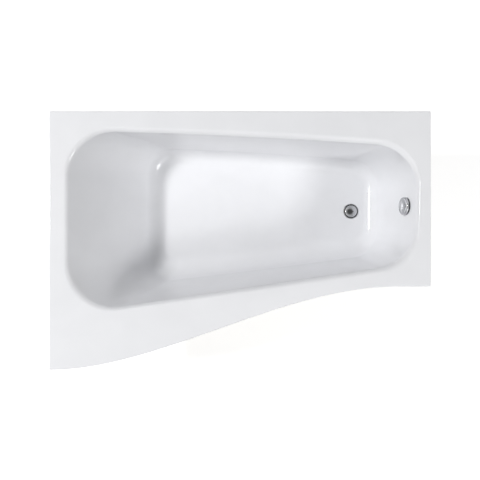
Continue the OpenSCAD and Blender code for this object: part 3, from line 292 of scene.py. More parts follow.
# %% Pressed board
board = Finish("pressed_board", roughness=0.8)
flake_size, flake_h, fibre_size, fibre_h = 0.0045, 0.0003, 0.0012, 0.0002
flakes = board.cells(flake_size, out="Color", stretch=(0.45, 1.0, 1.0), turn=(0, 0, 0.5))
flake_tone = board.add("ShaderNodeSeparateColor", None, {0: flakes})
fine = board.noise(fibre_size, 4.0, 0.7)
wood = board.add("ShaderNodeValToRGB", {"stops": [(0.0, (0.36, 0.24, 0.13, 1)),
    (0.35, (0.50, 0.36, 0.21, 1)), (0.7, (0.58, 0.43, 0.27, 1)), (1.0, (0.68, 0.54, 0.36, 1))]},
    {0: flake_tone * 0.75 + fine * 0.25})
board.feed("Base Color", wood)
board.feed("Roughness", board.between(flake_tone, 0.0, 1.0, 0.68, 0.9))
board.feed("Normal", board.bump(flake_tone, flake_h, 0.6, board.bump(fine, fibre_h, 0.5)))
print("pressed board ready")

# %% [markdown]
# ## Metals
# Five metals meet on this bath. Dipped zinc on the channels shows large crystals, called spangle.
# Plated screws and rods are brighter and carry a faint yellow passivation. Pins are plain stainless
# steel, the plug's screw is brass, and what the bather sees is polished chrome with water spots.

# %% Metals
def metal(name, bright, shade, rough_low, rough_high, cell, grain=(1, 1, 1), depth=0.00002):
    """A metal whose tone and roughness wander together over cells of a given size."""
    finish = Finish(name, metallic=1.0)
    wander = finish.noise(cell, 3.0, 0.6, stretch=grain)
    specks = finish.noise(cell / 6, 2.0, 0.6)
    finish.feed("Base Color", finish.blend(finish.between(wander, 0.3, 0.7), bright, shade))
    finish.feed("Roughness", finish.between(wander * 0.7 + specks * 0.3, 0.35, 0.65,
        rough_low, rough_high))
    finish.feed("Normal", finish.bump(specks, depth, 0.3))
    return finish


chrome = metal("polished_chrome", (0.56, 0.565, 0.58), (0.48, 0.485, 0.50), 0.03, 0.07, 0.02,
    depth=0.000003)
plated = metal("plated_steel", (0.62, 0.62, 0.60), (0.52, 0.50, 0.45), 0.26, 0.42, 0.006)
stainless = metal("stainless_steel", (0.60, 0.60, 0.61), (0.52, 0.52, 0.53), 0.18, 0.30, 0.003,
    grain=(1, 1, 8))
brass = metal("turned_brass", (0.78, 0.60, 0.30), (0.66, 0.48, 0.22), 0.18, 0.32, 0.004,
    grain=(1, 1, 6))

zinc_dark, zinc_bright = (0.52, 0.54, 0.56), (0.68, 0.69, 0.70)
crystal_size, frost_size, zinc_h = 0.011, 0.002, 0.00004
zinc = Finish("dipped_zinc", metallic=1.0)
crystals = zinc.add("ShaderNodeSeparateColor", None, {0: zinc.cells(crystal_size, out="Color")})
frost = zinc.noise(frost_size, 3.0, 0.6)
zinc.feed("Base Color", zinc.blend(crystals * 0.8 + frost * 0.2, zinc_dark, zinc_bright))
zinc.feed("Roughness", zinc.between(crystals * 0.7 + frost * 0.3, 0.1, 0.9, 0.28, 0.52))
zinc.feed("Normal", zinc.bump(crystals * 0.5 + frost * 0.5, zinc_h, 0.5))
print("metals ready")

# %% [markdown]
# ## Plastics and rubber
# Traps, nuts and housings are moulded polypropylene: satin, slightly clouded where the melt flowed,
# with the fine spark-eroded grain of the mould. Rubber seals are black and matt with a pale bloom.

# %% Plastics and rubber
def moulded(name, colour, cloud, rough_low, rough_high, grain=0.0009, depth=0.00003, flow=0.03):
    """A moulded material with flow clouds and a fine mould grain."""
    finish = Finish(name, ior=1.5)
    clouds = finish.noise(flow, 4.0, 0.6, twist=0.8)
    texture = finish.noise(grain, 2.0, 0.5)
    finish.feed("Base Color", finish.blend(finish.between(clouds, 0.3, 0.7), colour, cloud))
    finish.feed("Roughness", finish.between(clouds * 0.5 + texture * 0.5, 0.3, 0.7,
        rough_low, rough_high))
    finish.feed("Normal", finish.bump(texture, depth, 0.4))
    return finish


white_plastic = moulded("white_polypropylene", (0.80, 0.80, 0.785), (0.74, 0.74, 0.72), 0.28, 0.42)
grey_plastic = moulded("grey_hose_plastic", (0.50, 0.51, 0.52), (0.43, 0.44, 0.45), 0.32, 0.48)
black_plastic = moulded("black_moulded_plastic", (0.030, 0.030, 0.032), (0.045, 0.045, 0.046),
    0.38, 0.56)
rubber = moulded("black_rubber", (0.022, 0.022, 0.022), (0.050, 0.048, 0.046), 0.55, 0.8,
    grain=0.0005)
print("plastics ready")

# %% [markdown]
# ## The shell's outlines
# The shell follows a rule: four rounded outlines lie one below the other, and every section between
# them is the same chain of curves. First comes the outer edge, straight at the wall and the two
# ends, with one long S curve at the front. Then come the well's three rings, at the rim, at the
# crease below the rolled band, and at the floor. All have the same number of points.

# %% Sizes of the shell
bath_l, wide_w, narrow_w, rim_h = 1.5, 1.017, 0.690, 0.560
front_straight, ease_head, ease_foot = 0.127, 0.432, 0.464
lip_h, lip_round, shell_t = 0.040, 0.004, 0.005
half_l, half_w = bath_l / 2, wide_w / 2
front_foot_y = half_w - narrow_w
band_drop, bath_depth, floor_fall = 0.015, 0.400, 0.010
floor_z = rim_h - bath_depth
waste = Vector((0.518, 0.136, floor_z))
corner_steps = 32
side_steps = (48, 22, 60, 22)
run_head, run_wall, run_foot = 0.271, 0.018, 0.077
rim_corners = [Vector(p) for p in ((-0.693, 0.4565), (0.719, 0.3965), (0.697, -0.1085),
    (-0.693, -0.3085))]
wall_corners = [Vector(p) for p in ((-0.671, 0.4385), (0.700, 0.3725), (0.694, -0.0865),
    (-0.671, -0.2915))]
floor_corners = [corner + Vector(run) for corner, run in zip(wall_corners, ((run_head, -run_wall),
    (-run_foot, -run_wall), (-run_foot, 0.034), (run_head, 0.118)))]
rim_rounds, wall_round, floor_round = (0.190, 0.182, 0.156, 0.187), 0.176, 0.120
bows = (0.008, 0.0, 0.002, 0.0)       # how far each side swells at the rim
wall_bow, floor_bow = 0.7, 0.5        # the share of it that is left lower down
coves = (0.062, 0.050, 0.096, 0.055)  # reach of the hollow at the wall, foot, front and head
lumbars = (0.0, 0.0, 0.0, 0.016)      # how far the wall stands in above the hollow
bend_leg = 0.030                      # reach of the bend between hollow and wall
band_lean = 0.45                      # where the band's control point stands, from rim to crease
crease_reach = 0.003                  # half the width of the rounded crease below the band
flat_edge = 0.010                     # strip of floor beside the hollow, which keeps the rest flat
print("well", round(rim_corners[1].x - rim_corners[0].x, 3), "m long at the rim")

# %% Rings of points
def corner_arc(p, a, b, r):
    """Points round the corner p between its neighbours a and b."""
    to_a, to_b = (a - p).normalized(), (b - p).normalized()
    half = math.acos(to_a.dot(to_b)) / 2
    centre = p + (to_a + to_b).normalized() * r / math.sin(half)
    first, last = (p + d * r / math.tan(half) - centre for d in (to_a, to_b))
    start = math.atan2(first.y, first.x)
    sweep = (math.atan2(last.y, last.x) - start + math.pi) % (2 * math.pi) - math.pi
    return [centre + r * Vector((math.cos(start + sweep * k / corner_steps),
        math.sin(start + sweep * k / corner_steps))) for k in range(corner_steps + 1)]


def side_between(a, b, bow, steps):
    out = Vector((a.y - b.y, b.x - a.x)).normalized()
    spots = [k / steps for k in range(1, steps)]
    return [a.lerp(b, spot) + out * bow * 4 * spot * (1 - spot) for spot in spots]


def ring(corners, rounds, bow):
    """A rounded, slightly bowed quadrilateral, clockwise from the wall side's head corner."""
    arcs = [corner_arc(corners[k], corners[k - 1], corners[(k + 1) % 4], rounds[k])
        for k in range(4)]
    points = []
    for k in range(4):
        points += arcs[k] + side_between(arcs[k][-1], arcs[(k + 1) % 4][0], bow[k], side_steps[k])
    return points


rim_ring = ring(rim_corners, rim_rounds, bows)
wall_ring = ring(wall_corners, (wall_round,) * 4, [b * wall_bow for b in bows])
floor_ring = ring(floor_corners, (floor_round,) * 4, [b * floor_bow for b in bows])
stations = len(rim_ring)
print("points in each ring:", stations)

# %% [markdown]
# The front edge is one cubic Bezier curve with level ends, so it runs smoothly into the straight
# parts beside it. A point of the outer edge is wanted for each point of the rings, so the curve is
# asked for its place at a given length along the bath.

# %% The outer edge and its S curve
def front_point(t):
    ends = ((-half_l, -half_w), (-half_l + ease_head, -half_w),
        (half_l - front_straight - ease_foot, front_foot_y),
        (half_l - front_straight, front_foot_y))
    a, b, c, d = (Vector(p) for p in ends)
    return (1 - t) ** 3 * a + 3 * t * (1 - t) ** 2 * b + 3 * t * t * (1 - t) * c + t ** 3 * d


def front_y(x):
    """Height of the front edge at x, found by halving the curve's range."""
    if x > half_l - front_straight:
        return front_foot_y
    low, high = 0.0, 1.0
    for _ in range(30):
        middle = (low + high) / 2
        low, high = (middle, high) if front_point(middle).x < x else (low, middle)
    return front_point((low + high) / 2).y


def front_inset(x, inset):
    step = 0.001
    slope = (front_y(x + step) - front_y(x - step)) / (2 * step)
    return front_y(x) + inset * math.sqrt(1 + slope * slope)


side_spans = [corner_steps + s for s in side_steps]


def ring_side(i):
    """Which side of the bath a ring's point belongs to, and its place along that side."""
    u = (i - corner_steps // 2) % stations
    for k, span in enumerate(side_spans):
        if u < span:
            return k, u, span
        u -= span


def outline_point(i, inset):
    k, u, span = ring_side(i)
    f, x, y = u / span, half_l - inset, half_w - inset
    if k == 0:
        return Vector((-x + 2 * x * f, y))
    if k == 1:
        return Vector((x, y + (front_inset(x, inset) - y) * f))
    if k == 2:
        return Vector((x - 2 * x * f, front_inset(x - 2 * x * f, inset)))
    low = front_inset(-x, inset)
    return Vector((-x, low + (y - low) * f))


print("front edge at the head end:", round(front_y(-half_l), 4))

# %% [markdown]
# ## Control points for every section
# Each point of the rings gets a chain of control points, from the lip over the deck and the rolled
# band, down the wall and round the hollow to the floor. Below them lies a second chain, one sheet's
# thickness away. A curved stretch is a conic with three control points and a weight, which draws a
# true arc where the legs are equal.

# %% Chains of control points
def at(p, z):
    return Vector((p.x, p.y, z))


def floor_at(x):
    return floor_z + floor_fall * (waste.x - x) / (waste.x - floor_corners[0].x)


def side_mix(i, sizes):
    """A size with one value for each side, which changes smoothly round each corner."""
    k, v, span = ring_side(i)
    half = corner_steps / 2
    before, after = sizes[k - 1], sizes[(k + 1) % 4]
    if v < half:
        return (before + sizes[k]) / 2 + (sizes[k] - before) / 2 * v / half
    if v > span - half:
        return sizes[k] + (after - sizes[k]) / 2 * (v - span + half) / half
    return sizes[k]


def unit_along(points, i):
    return (points[(i + 1) % stations] - points[i - 1]).normalized()


def outward(points, i, up):
    """The direction that looks out of the well, square to a wall that rises along up."""
    side = unit_along(points, i).to_3d().cross(up).normalized()
    return side if side.dot(at(points[i], 0)) > 0 else -side


chain = {name: [] for name in (
    "lip_in_low", "lip_in_high", "lip_low", "lip_shoulder", "lip_corner", "lip_top", "rim",
    "band_bend", "band_end", "crease", "wall_start", "bend_start", "wall_bend", "cove_top",
    "floor_edge", "cove_foot", "flat_start", "under_rim", "under_wall", "under_bend_start",
    "under_bend", "under_cove", "under_edge", "under_foot")}
weights = []
down = Vector((0, 0, -1))
for i in range(stations):
    rim, crease = at(rim_ring[i], rim_h), at(wall_ring[i], rim_h - band_drop)
    band_bend = at(rim.lerp(crease, band_lean), rim_h)
    edge = at(floor_ring[i], floor_at(floor_ring[i].x))
    along, cove = unit_along(floor_ring, i), side_mix(i, coves)
    inward = Vector((along.y, -along.x))
    inner = floor_ring[i] + inward * cove
    foot = at(inner, floor_at(inner.x))
    wall_bend = (edge + (crease - edge).normalized() * (cove + bend_leg)
        + at(inward * side_mix(i, lumbars), 0))
    up_low, up_high = (wall_bend - edge).normalized(), (crease - wall_bend).normalized()
    cove_top, bend_start = edge + up_low * cove, wall_bend + up_high * bend_leg
    out_low, out_high = outward(floor_ring, i, up_low), outward(wall_ring, i, up_high)
    values = {
        "lip_in_low": at(outline_point(i, shell_t), rim_h - lip_h),
        "lip_in_high": at(outline_point(i, shell_t), rim_h - shell_t),
        "lip_low": at(outline_point(i, 0), rim_h - lip_h),
        "lip_shoulder": at(outline_point(i, 0), rim_h - lip_round),
        "lip_corner": at(outline_point(i, 0), rim_h),
        "lip_top": at(outline_point(i, lip_round), rim_h),
        "rim": rim, "band_bend": band_bend, "crease": crease,
        "band_end": crease + (band_bend - crease).normalized() * crease_reach,
        "wall_start": crease - up_high * crease_reach, "bend_start": bend_start,
        "wall_bend": wall_bend, "cove_top": cove_top, "floor_edge": edge, "cove_foot": foot,
        "flat_start": at(inner + inward * flat_edge, floor_at((inner + inward * flat_edge).x)),
        "under_rim": at(rim_ring[i], rim_h - shell_t),
        "under_wall": crease + (out_high - up_high * 2) * shell_t,
        "under_bend_start": bend_start + out_high * shell_t,
        "under_bend": wall_bend + (out_low + out_high) * shell_t / (1 + out_low.dot(out_high)),
        "under_cove": cove_top + out_low * shell_t,
        "under_edge": edge + (out_low + down) * shell_t / (1 + out_low.dot(down)),
        "under_foot": foot + down * shell_t}
    for name, point in values.items():
        chain[name].append(point)
    legs = (cove_top - edge).normalized().dot((foot - edge).normalized())
    weights.append(math.sqrt((1 - legs) / 2))
print("control points:", len(chain) * stations)

# %% [markdown]
# Geometry Nodes can't read a Python list. So the lists go into named attributes of a mesh that has
# nothing but points, one for each station round the bath.

# %% A mesh that carries the chains
def point_mesh(name, count, vectors, numbers=()):
    """Loose points with named vectors and numbers, for Geometry Nodes to read."""
    mesh = bpy.data.meshes.new(name)
    mesh.vertices.add(count)
    for key, rows in vectors.items():
        mesh.attributes.new(key, "FLOAT_VECTOR", "POINT").data.foreach_set("vector",
            [c for row in rows for c in row])
    for key, row in dict(numbers).items():
        mesh.attributes.new(key, "FLOAT", "POINT").data.foreach_set("value", row)
    obj = bpy.data.objects.new(name, mesh)
    bpy.context.scene.collection.objects.link(obj)
    return obj


shell_source = point_mesh("shell_source", stations, chain, {"cove_weight": weights,
    "even": [1.0] * stations, "quarter": [math.sqrt(0.5)] * stations})
print("source points:", len(shell_source.data.vertices))

# %% [markdown]
# ## Lofting with Geometry Nodes
# A strip is one stretch of the section, swept all the way round the bath. Its node group lays out a
# grid, finds each vertex's row and column from its index, and places it on the conic that the
# column's three control points draw. The whole skin is sixteen strips, one after the other, so
# Geometry Nodes suits it: changing a size means changing a control point, and the rows follow.

# %% The strip group
def new_group(name, inputs, modifier=False):
    """An empty Geometry Nodes group with named inputs: (name, socket type, default)."""
    tree = bpy.data.node_groups.new(name, "GeometryNodeTree")
    tree.is_modifier = modifier
    for label, kind, default in inputs:
        item = tree.interface.new_socket(label, in_out="INPUT", socket_type="NodeSocket" + kind)
        if default is not None:
            item.default_value = default
    tree.interface.new_socket("Geometry", in_out="OUTPUT", socket_type="NodeSocketGeometry")
    grp = Board(tree)
    entry = tree.nodes.new("NodeGroupInput")
    ending = tree.nodes.new("NodeGroupOutput")
    return grp, {label: Wire(grp, entry.outputs[label]) for label, _, _ in inputs}, ending


def finish_group(grp, ending, geometry):
    grp.tree.links.new(geometry.socket, ending.inputs[0])
    return grp.tree


strip, given, strip_end = new_group("strip", [("Source", "Geometry", None), ("Start", "String", ""),
    ("Bend", "String", ""), ("End", "String", ""), ("Weight", "String", "even"), ("Rows", "Int", 4),
    ("Under", "Bool", False)])
columns = strip.add("GeometryNodeAttributeDomainSize", {"component": "MESH"},
    {"Geometry": given["Source"]}, out="Point Count")
grid = strip.add("GeometryNodeMeshGrid", None, {"Size X": 1.0, "Size Y": 1.0,
    "Vertices X": given["Rows"] + 1, "Vertices Y": columns + 1})
index = strip.add("GeometryNodeInputIndex")
row = strip.maths("FLOOR", (index + 0.5) / (columns + 1))
column = index - row * (columns + 1)
column = column - columns * strip.maths("GREATER_THAN", column, columns - 0.5)


def sampled(kind, name):
    value = strip.add("GeometryNodeInputNamedAttribute", {"data_type": kind}, {"Name": name})
    return strip.add("GeometryNodeSampleIndex", {"data_type": kind, "domain": "POINT"},
        {"Geometry": given["Source"], "Value": value, "Index": column})


way = row / given["Rows"]
pull = sampled("FLOAT", given["Weight"])
shares = ((1 - way) * (1 - way), 2 * pull * way * (1 - way), way * way)
total = shares[0] + shares[1] + shares[2]
point = None
for share, name in zip(shares, ("Start", "Bend", "End")):
    term = strip.vector("SCALE", sampled("FLOAT_VECTOR", given[name]), Scale=share / total)
    point = term if point is None else strip.vector("ADD", point, term)
placed = strip.add("GeometryNodeSetPosition", None, {"Geometry": grid, "Position": point})
marked = strip.add("GeometryNodeStoreNamedAttribute", {"data_type": "BOOLEAN", "domain": "FACE"},
    {"Geometry": placed, "Name": "under", "Value": given["Under"]})
strip_tree = finish_group(strip, strip_end, marked)
print("strip group:", len(strip_tree.nodes), "nodes")

# %% [markdown]
# The floor is flat, so it needs no rows. A second group turns the last ring of points into a closed
# curve, fills it, and lays the fill on the floor's slope. A fan of triangles from the middle would
# fold over itself at the tight corners and show as dark lines.

# %% The flat floor group
flat, flat_in, flat_end = new_group("flat_floor", [("Source", "Geometry", None),
    ("Ring", "String", ""), ("Level", "Float", 0.0), ("Slope", "Float", 0.0),
    ("Under", "Bool", False)])
ring_points = flat.add("GeometryNodeMeshToPoints", None, {"Mesh": flat_in["Source"]})
ring_curve = flat.add("GeometryNodePointsToCurves", None, {"Points": ring_points})
closed = flat.add("GeometryNodeSetSplineCyclic", None, {"Geometry": ring_curve, "Cyclic": True})
ring_place = flat.add("GeometryNodeInputNamedAttribute", {"data_type": "FLOAT_VECTOR"},
    {"Name": flat_in["Ring"]})
laid = flat.add("GeometryNodeSetPosition", None, {"Geometry": closed, "Position": ring_place})
filled = flat.add("GeometryNodeFillCurve", None, {"Curve": laid})
spot = flat.add("ShaderNodeSeparateXYZ", None, {0: flat.add("GeometryNodeInputPosition")})
sloped = flat.add("ShaderNodeCombineXYZ", None, {"X": spot, "Y": spot.other("Y"),
    "Z": flat_in["Level"] + flat_in["Slope"] * spot})
sheet = flat.add("GeometryNodeSetPosition", None, {"Geometry": filled, "Position": sloped})
faced = flat.add("GeometryNodeFlipFaces", None, {"Mesh": sheet, "Selection": flat_in["Under"]})
flat_marked = flat.add("GeometryNodeStoreNamedAttribute", {"data_type": "BOOLEAN",
    "domain": "FACE"}, {"Geometry": faced, "Name": "under", "Value": flat_in["Under"]})
flat_tree = finish_group(flat, flat_end, flat_marked)
print("flat floor group:", len(flat_tree.nodes), "nodes")

# %% [markdown]
# The skin's strips run in one order from the edge of the underside's flat, out over the lip and
# back to the edge of the floor's flat, so every face points outwards. Their shared edges then merge
# with the two flats.

# %% The skin group
skin, sizes, skin_end = new_group("shell_skin", [("Geometry", "Geometry", None),
    ("Flat rows", "Int", 5), ("Wall rows", "Int", 8), ("Bend rows", "Int", 8),
    ("Band rows", "Int", 12), ("Crease rows", "Int", 4), ("Cove rows", "Int", 18),
    ("Hole diameter", "Float", 0.054), ("Flange seat", "Float", 0.072),
    ("Knob seat", "Float", 0.083), ("Acrylic", "Material", None),
    ("Laminate", "Material", None)], modifier=True)
order = [("under_foot", "under_edge", "under_cove", "cove_weight", "Cove rows", True),
    ("under_cove", "under_bend", "under_bend_start", "even", "Bend rows", True),
    ("under_bend_start", "under_bend_start", "under_wall", "even", "Wall rows", True),
    ("under_wall", "under_wall", "under_rim", "even", "Crease rows", True),
    ("under_rim", "under_rim", "lip_in_high", "even", "Flat rows", True),
    ("lip_in_high", "lip_in_high", "lip_in_low", "even", "Crease rows", True),
    ("lip_in_low", "lip_in_low", "lip_low", "even", "Crease rows", False),
    ("lip_low", "lip_low", "lip_shoulder", "even", "Crease rows", False),
    ("lip_shoulder", "lip_corner", "lip_top", "quarter", "Crease rows", False),
    ("lip_top", "lip_top", "rim", "even", "Flat rows", False),
    ("rim", "band_bend", "band_end", "even", "Band rows", False),
    ("band_end", "crease", "wall_start", "even", "Crease rows", False),
    ("wall_start", "wall_start", "bend_start", "even", "Wall rows", False),
    ("bend_start", "wall_bend", "cove_top", "even", "Bend rows", False),
    ("cove_top", "floor_edge", "cove_foot", "cove_weight", "Cove rows", False),
    ("cove_foot", "cove_foot", "flat_start", "even", "Crease rows", False)]
print("strips in the skin:", len(order))

# %% [markdown]
# The maker cuts the holes for the waste and the overflow with a hole saw and planes level seats
# round them. The group does the same: short cylinders are taken from the skin in one exact
# boolean. Faces marked as underside then get the laminate, and all others the acrylic.

# %% Cutters, holes and materials of the skin
def cylinder_at(grp, radius, length, place, turn=(0, 0, 0), sides=96):
    solid = grp.add("GeometryNodeMeshCylinder", {"fill_type": "NGON"}, {"Vertices": sides,
        "Radius": radius, "Depth": length})
    return grp.add("GeometryNodeTransform", None, {"Geometry": solid, "Translation": place,
        "Rotation": turn})


wall_tilt = math.atan(run_foot / (bath_depth - band_drop))
overflow_out = Vector((-math.cos(wall_tilt), 0, math.sin(wall_tilt)))
across = (0, wall_tilt - math.pi / 2, 0)         # turns a cylinder's axis square to the foot wall
overflow = Vector((0.681949, 0.141, 0.465))      # the overflow's inner seat on the foot wall
flange_sink, nut_seat_r = 0.001, 0.045           # seats of the waste, above and below the floor
body_seat_r, wall_left = 0.040, 0.003            # the overflow's outer seat, and the wall it leaves
under_seat_z = floor_z - shell_t + 0.0006
seat_cut, through = 0.020, 0.060
strips = [skin.add("GeometryNodeGroup", {"node_tree": strip_tree}, {"Source": sizes["Geometry"],
    "Start": a, "Bend": b, "End": c, "Weight": weight, "Rows": sizes[rows], "Under": under})
    for a, b, c, weight, rows, under in order]
floor_slope = -floor_fall / (waste.x - floor_corners[0].x)
strips += [skin.add("GeometryNodeGroup", {"node_tree": flat_tree}, {"Source": sizes["Geometry"],
    "Ring": name, "Level": floor_at(0) - drop, "Slope": floor_slope, "Under": under})
    for name, drop, under in (("flat_start", 0, False), ("under_foot", shell_t, True))]
joined = skin.add("GeometryNodeMergeByDistance", None, {"Distance": 0.00002,
    "Geometry": skin.add("GeometryNodeJoinGeometry", None, {"Geometry": strips})})
hole_r = sizes["Hole diameter"] / 2
waste_seat = Vector((waste.x, waste.y, floor_z - flange_sink + seat_cut / 2))
nut_seat = Vector((waste.x, waste.y, under_seat_z - seat_cut / 2))
knob_seat = overflow + overflow_out * seat_cut / 4
body_seat = overflow - overflow_out * (wall_left + seat_cut / 4)
cutters = [cylinder_at(skin, hole_r, through, waste),
    cylinder_at(skin, sizes["Flange seat"] / 2, seat_cut, waste_seat),
    cylinder_at(skin, nut_seat_r, seat_cut, nut_seat),
    cylinder_at(skin, hole_r, through, overflow, across),
    cylinder_at(skin, sizes["Knob seat"] / 2, seat_cut / 2, knob_seat, across),
    cylinder_at(skin, body_seat_r, seat_cut / 2, body_seat, across)]
bored = skin.add("GeometryNodeMeshBoolean", {"operation": "DIFFERENCE", "solver": "EXACT"},
    {"Mesh 1": joined, "Mesh 2": cutters})
is_under = skin.add("GeometryNodeInputNamedAttribute", {"data_type": "BOOLEAN"}, {"Name": "under"})
real = skin.add("GeometryNodeRealizeInstances", None, {"Geometry": bored})
front_face = skin.add("GeometryNodeSetMaterial", None, {"Geometry": real,
    "Material": sizes["Acrylic"]})
both = skin.add("GeometryNodeSetMaterial", None, {"Geometry": front_face, "Selection": is_under,
    "Material": sizes["Laminate"]})
skin_tree = finish_group(skin, skin_end, both)
print("skin group:", len(skin_tree.nodes), "nodes")

# %% [markdown]
# A modifier's inputs are set by socket identifier before the object is first evaluated. The result
# then becomes a plain mesh, and the source object goes, so nothing live is left on the piece.

# %% Growing a mesh from a group
def smooth(obj, degrees=32):
    """Smooth shading with sharp edges kept where faces meet at more than an angle."""
    obj.data.shade_smooth()
    obj.data.set_sharp_from_angle(angle=math.radians(degrees))


def grown(name, source, tree, values):
    modifier = source.modifiers.new(name, "NODES")
    modifier.node_group = tree
    for item in tree.interface.items_tree:
        if item.item_type == "SOCKET" and item.in_out == "INPUT" and item.name in values:
            modifier[item.identifier] = values[item.name]
    evaluated = source.evaluated_get(bpy.context.evaluated_depsgraph_get())
    mesh = bpy.data.meshes.new_from_object(evaluated)
    for attribute in [a for a in mesh.attributes if a.name == "under"]:
        mesh.attributes.remove(attribute)
    obj = bpy.data.objects.new(name, mesh)
    bpy.context.scene.collection.objects.link(obj)
    source.modifiers.remove(modifier)
    bpy.data.objects.remove(source)
    return obj


shell = grown("shell", shell_source, skin_tree, {"Acrylic": acrylic.material,
    "Laminate": laminate.material})
smooth(shell, 25)
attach(shell, "bath")
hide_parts("bath_shell")
low, high = (Vector(f(v.co[k] for v in shell.data.vertices) for k in range(3))
    for f in (min, max))
print("shell faces:", len(shell.data.polygons), "box", [round(c, 4) for c in (*low, *high)])

# %% [markdown]
# ## Finishes for the carried-over pieces
# Pieces whose CAD shape is right keep it and get their finish by name. What isn't listed is moulded
# in white plastic.

# %% Finishes by node
feet = ("head_wall", "head_front", "foot_wall", "foot_front", "centre")
finish_of = {name: finish for finish, names in (
    (laminate, ("base_laminate",)),
    (board, ("base_board", "rim_board_wall", "rim_board_head", "rim_board_foot",
        "rim_board_front")),
    (zinc, ("head_channel", "foot_channel", "centre_bracket", "wall_bracket_head",
        "wall_bracket_foot")),
    (plated, ("channel_screws", "lock_nuts", "bracket_screws",
        *("foot_stud_" + foot for foot in feet))),
    (stainless, ("ring_screws", "lift_pin", "rocker_pin", "knob_spindle")),
    (chrome, ("waste_flange", "plug_cap", "overflow_ring", "overflow_knob")),
    (rubber, ("flange_seal", "body_seal", "plug_seal", "overflow_seal", "trap_seal",
        "outlet_seal")),
    (brass, ("plug_screw",)),
    (grey_plastic, ("overflow_hose",)),
    (black_plastic, ("control_cable", *("foot_pad_" + foot for foot in feet)))) for name in names}
for name, node in nodes.items():
    if name != "bath_shell":
        node.data.materials.clear()
        node.data.materials.append(finish_of.get(name, white_plastic).material)
print("finished nodes:", len(nodes) - 1)

# %% [markdown]
# ## Turned pieces along a line
# Rods, screws, nuts, the hose and the cable are all rings along a line: a rod's line is straight,
# the hose's bends. One Geometry Nodes group makes them all. It reads three kinds of points, the
# profile's, the line's and the places', lays rings of the profile's radius along the line, and
# repeats the result at each place. A ring can be round, take a nut's flats or a cross slot's lobes.

# %% The turned group
turned, put, turned_end = new_group("turned", [("Geometry", "Geometry", None),
    ("Around", "Int", 48), ("Flats", "Float", 6.0), ("Lobes", "Float", 4.0),
    ("Lobe depth", "Float", 0.7), ("Finish", "Material", None)], modifier=True)


def named(kind, name):
    return turned.add("GeometryNodeInputNamedAttribute", {"data_type": kind}, {"Name": name})


def points_of(role):
    """The points of one role, at their spots: 0 for the profile, 1 for the line, 2 for places."""
    chosen = turned.maths("COMPARE", named("FLOAT", "role"), role, 0.5)
    part = turned.add("GeometryNodeSeparateGeometry", {"domain": "POINT"},
        {"Geometry": put["Geometry"], "Selection": chosen})
    spots = turned.add("GeometryNodeMeshToPoints", None, {"Mesh": part})
    return turned.add("GeometryNodeSetPosition", None, {"Geometry": spots,
        "Position": named("FLOAT_VECTOR", "spot")})


profile, places = points_of(0), points_of(2)
line = turned.add("GeometryNodePointsToCurves", None, {"Points": points_of(1)})
rings = turned.add("GeometryNodeAttributeDomainSize", {"component": "POINTCLOUD"},
    {"Geometry": profile}, out="Point Count")
lathe = turned.add("GeometryNodeMeshGrid", None, {"Vertices X": rings,
    "Vertices Y": put["Around"] + 1})
number = turned.add("GeometryNodeInputIndex")
ring_number = turned.maths("FLOOR", (number + 0.5) / (put["Around"] + 1))
angle = (number - ring_number * (put["Around"] + 1)) * (2 * math.pi) / put["Around"]


def from_profile(kind, name):
    return turned.add("GeometryNodeSampleIndex", {"data_type": kind, "domain": "POINT"},
        {"Geometry": profile, "Value": named(kind, name), "Index": ring_number})


spot_now = turned.add("ShaderNodeSeparateXYZ", None, {0: from_profile("FLOAT_VECTOR", "spot")})
wedge = (2 * math.pi) / put["Flats"]
flat_grow = 1 / turned.maths("COSINE", turned.maths("MODULO", angle, wedge) - wedge / 2) - 1
lobe_cut = put["Lobe depth"] * (0.5 - 0.5 * turned.maths("COSINE", angle * put["Lobes"]))
flat_share, lobe_share = from_profile("FLOAT", "flats"), from_profile("FLOAT", "lobes")
radius = spot_now * (1 + flat_share * flat_grow - lobe_share * lobe_cut)
on_line = turned.add("GeometryNodeSampleCurve", {"mode": "LENGTH"},
    {"Curves": line, "Length": spot_now.other("Y")}, out="Position")
side = on_line.other("Normal")
crossing = turned.vector("CROSS_PRODUCT", on_line.other("Tangent"), side)
reach = turned.vector("ADD",
    turned.vector("SCALE", side, Scale=radius * turned.maths("COSINE", angle)),
    turned.vector("SCALE", crossing, Scale=radius * turned.maths("SINE", angle)))
shaped = turned.add("GeometryNodeSetPosition", None, {"Geometry": lathe,
    "Position": turned.vector("ADD", on_line, reach)})
sewn = turned.add("GeometryNodeMergeByDistance", None, {"Geometry": shaped, "Distance": 0.00001})
repeated = turned.add("GeometryNodeInstanceOnPoints", None, {"Points": places, "Instance": sewn})
turned_tree = finish_group(turned, turned_end, turned.add("GeometryNodeSetMaterial", None,
    {"Geometry": turned.add("GeometryNodeRealizeInstances", None, {"Geometry": repeated}),
    "Material": put["Finish"]}))
print("turned group:", len(turned_tree.nodes), "nodes")

# %% [markdown]
# Three helpers stand between the group and the finished pieces. One hands a piece over, so that it
# rides where its CAD node rode and replaces it. One turns rows of numbers into a turned piece. The
# last finds where each screw or nut of a set stands, since a set is one CAD node.

# %% Making and handing over a piece
touching = 0.000001                   # points closer than this are one corner of a CAD mesh


def hand_over(piece, node, sharp=35):
    """Smooth a piece and let it ride, and stand, where its CAD node does."""
    smooth(piece, sharp)
    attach(piece, body_of(nodes[node])[0])
    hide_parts(node)
    return piece


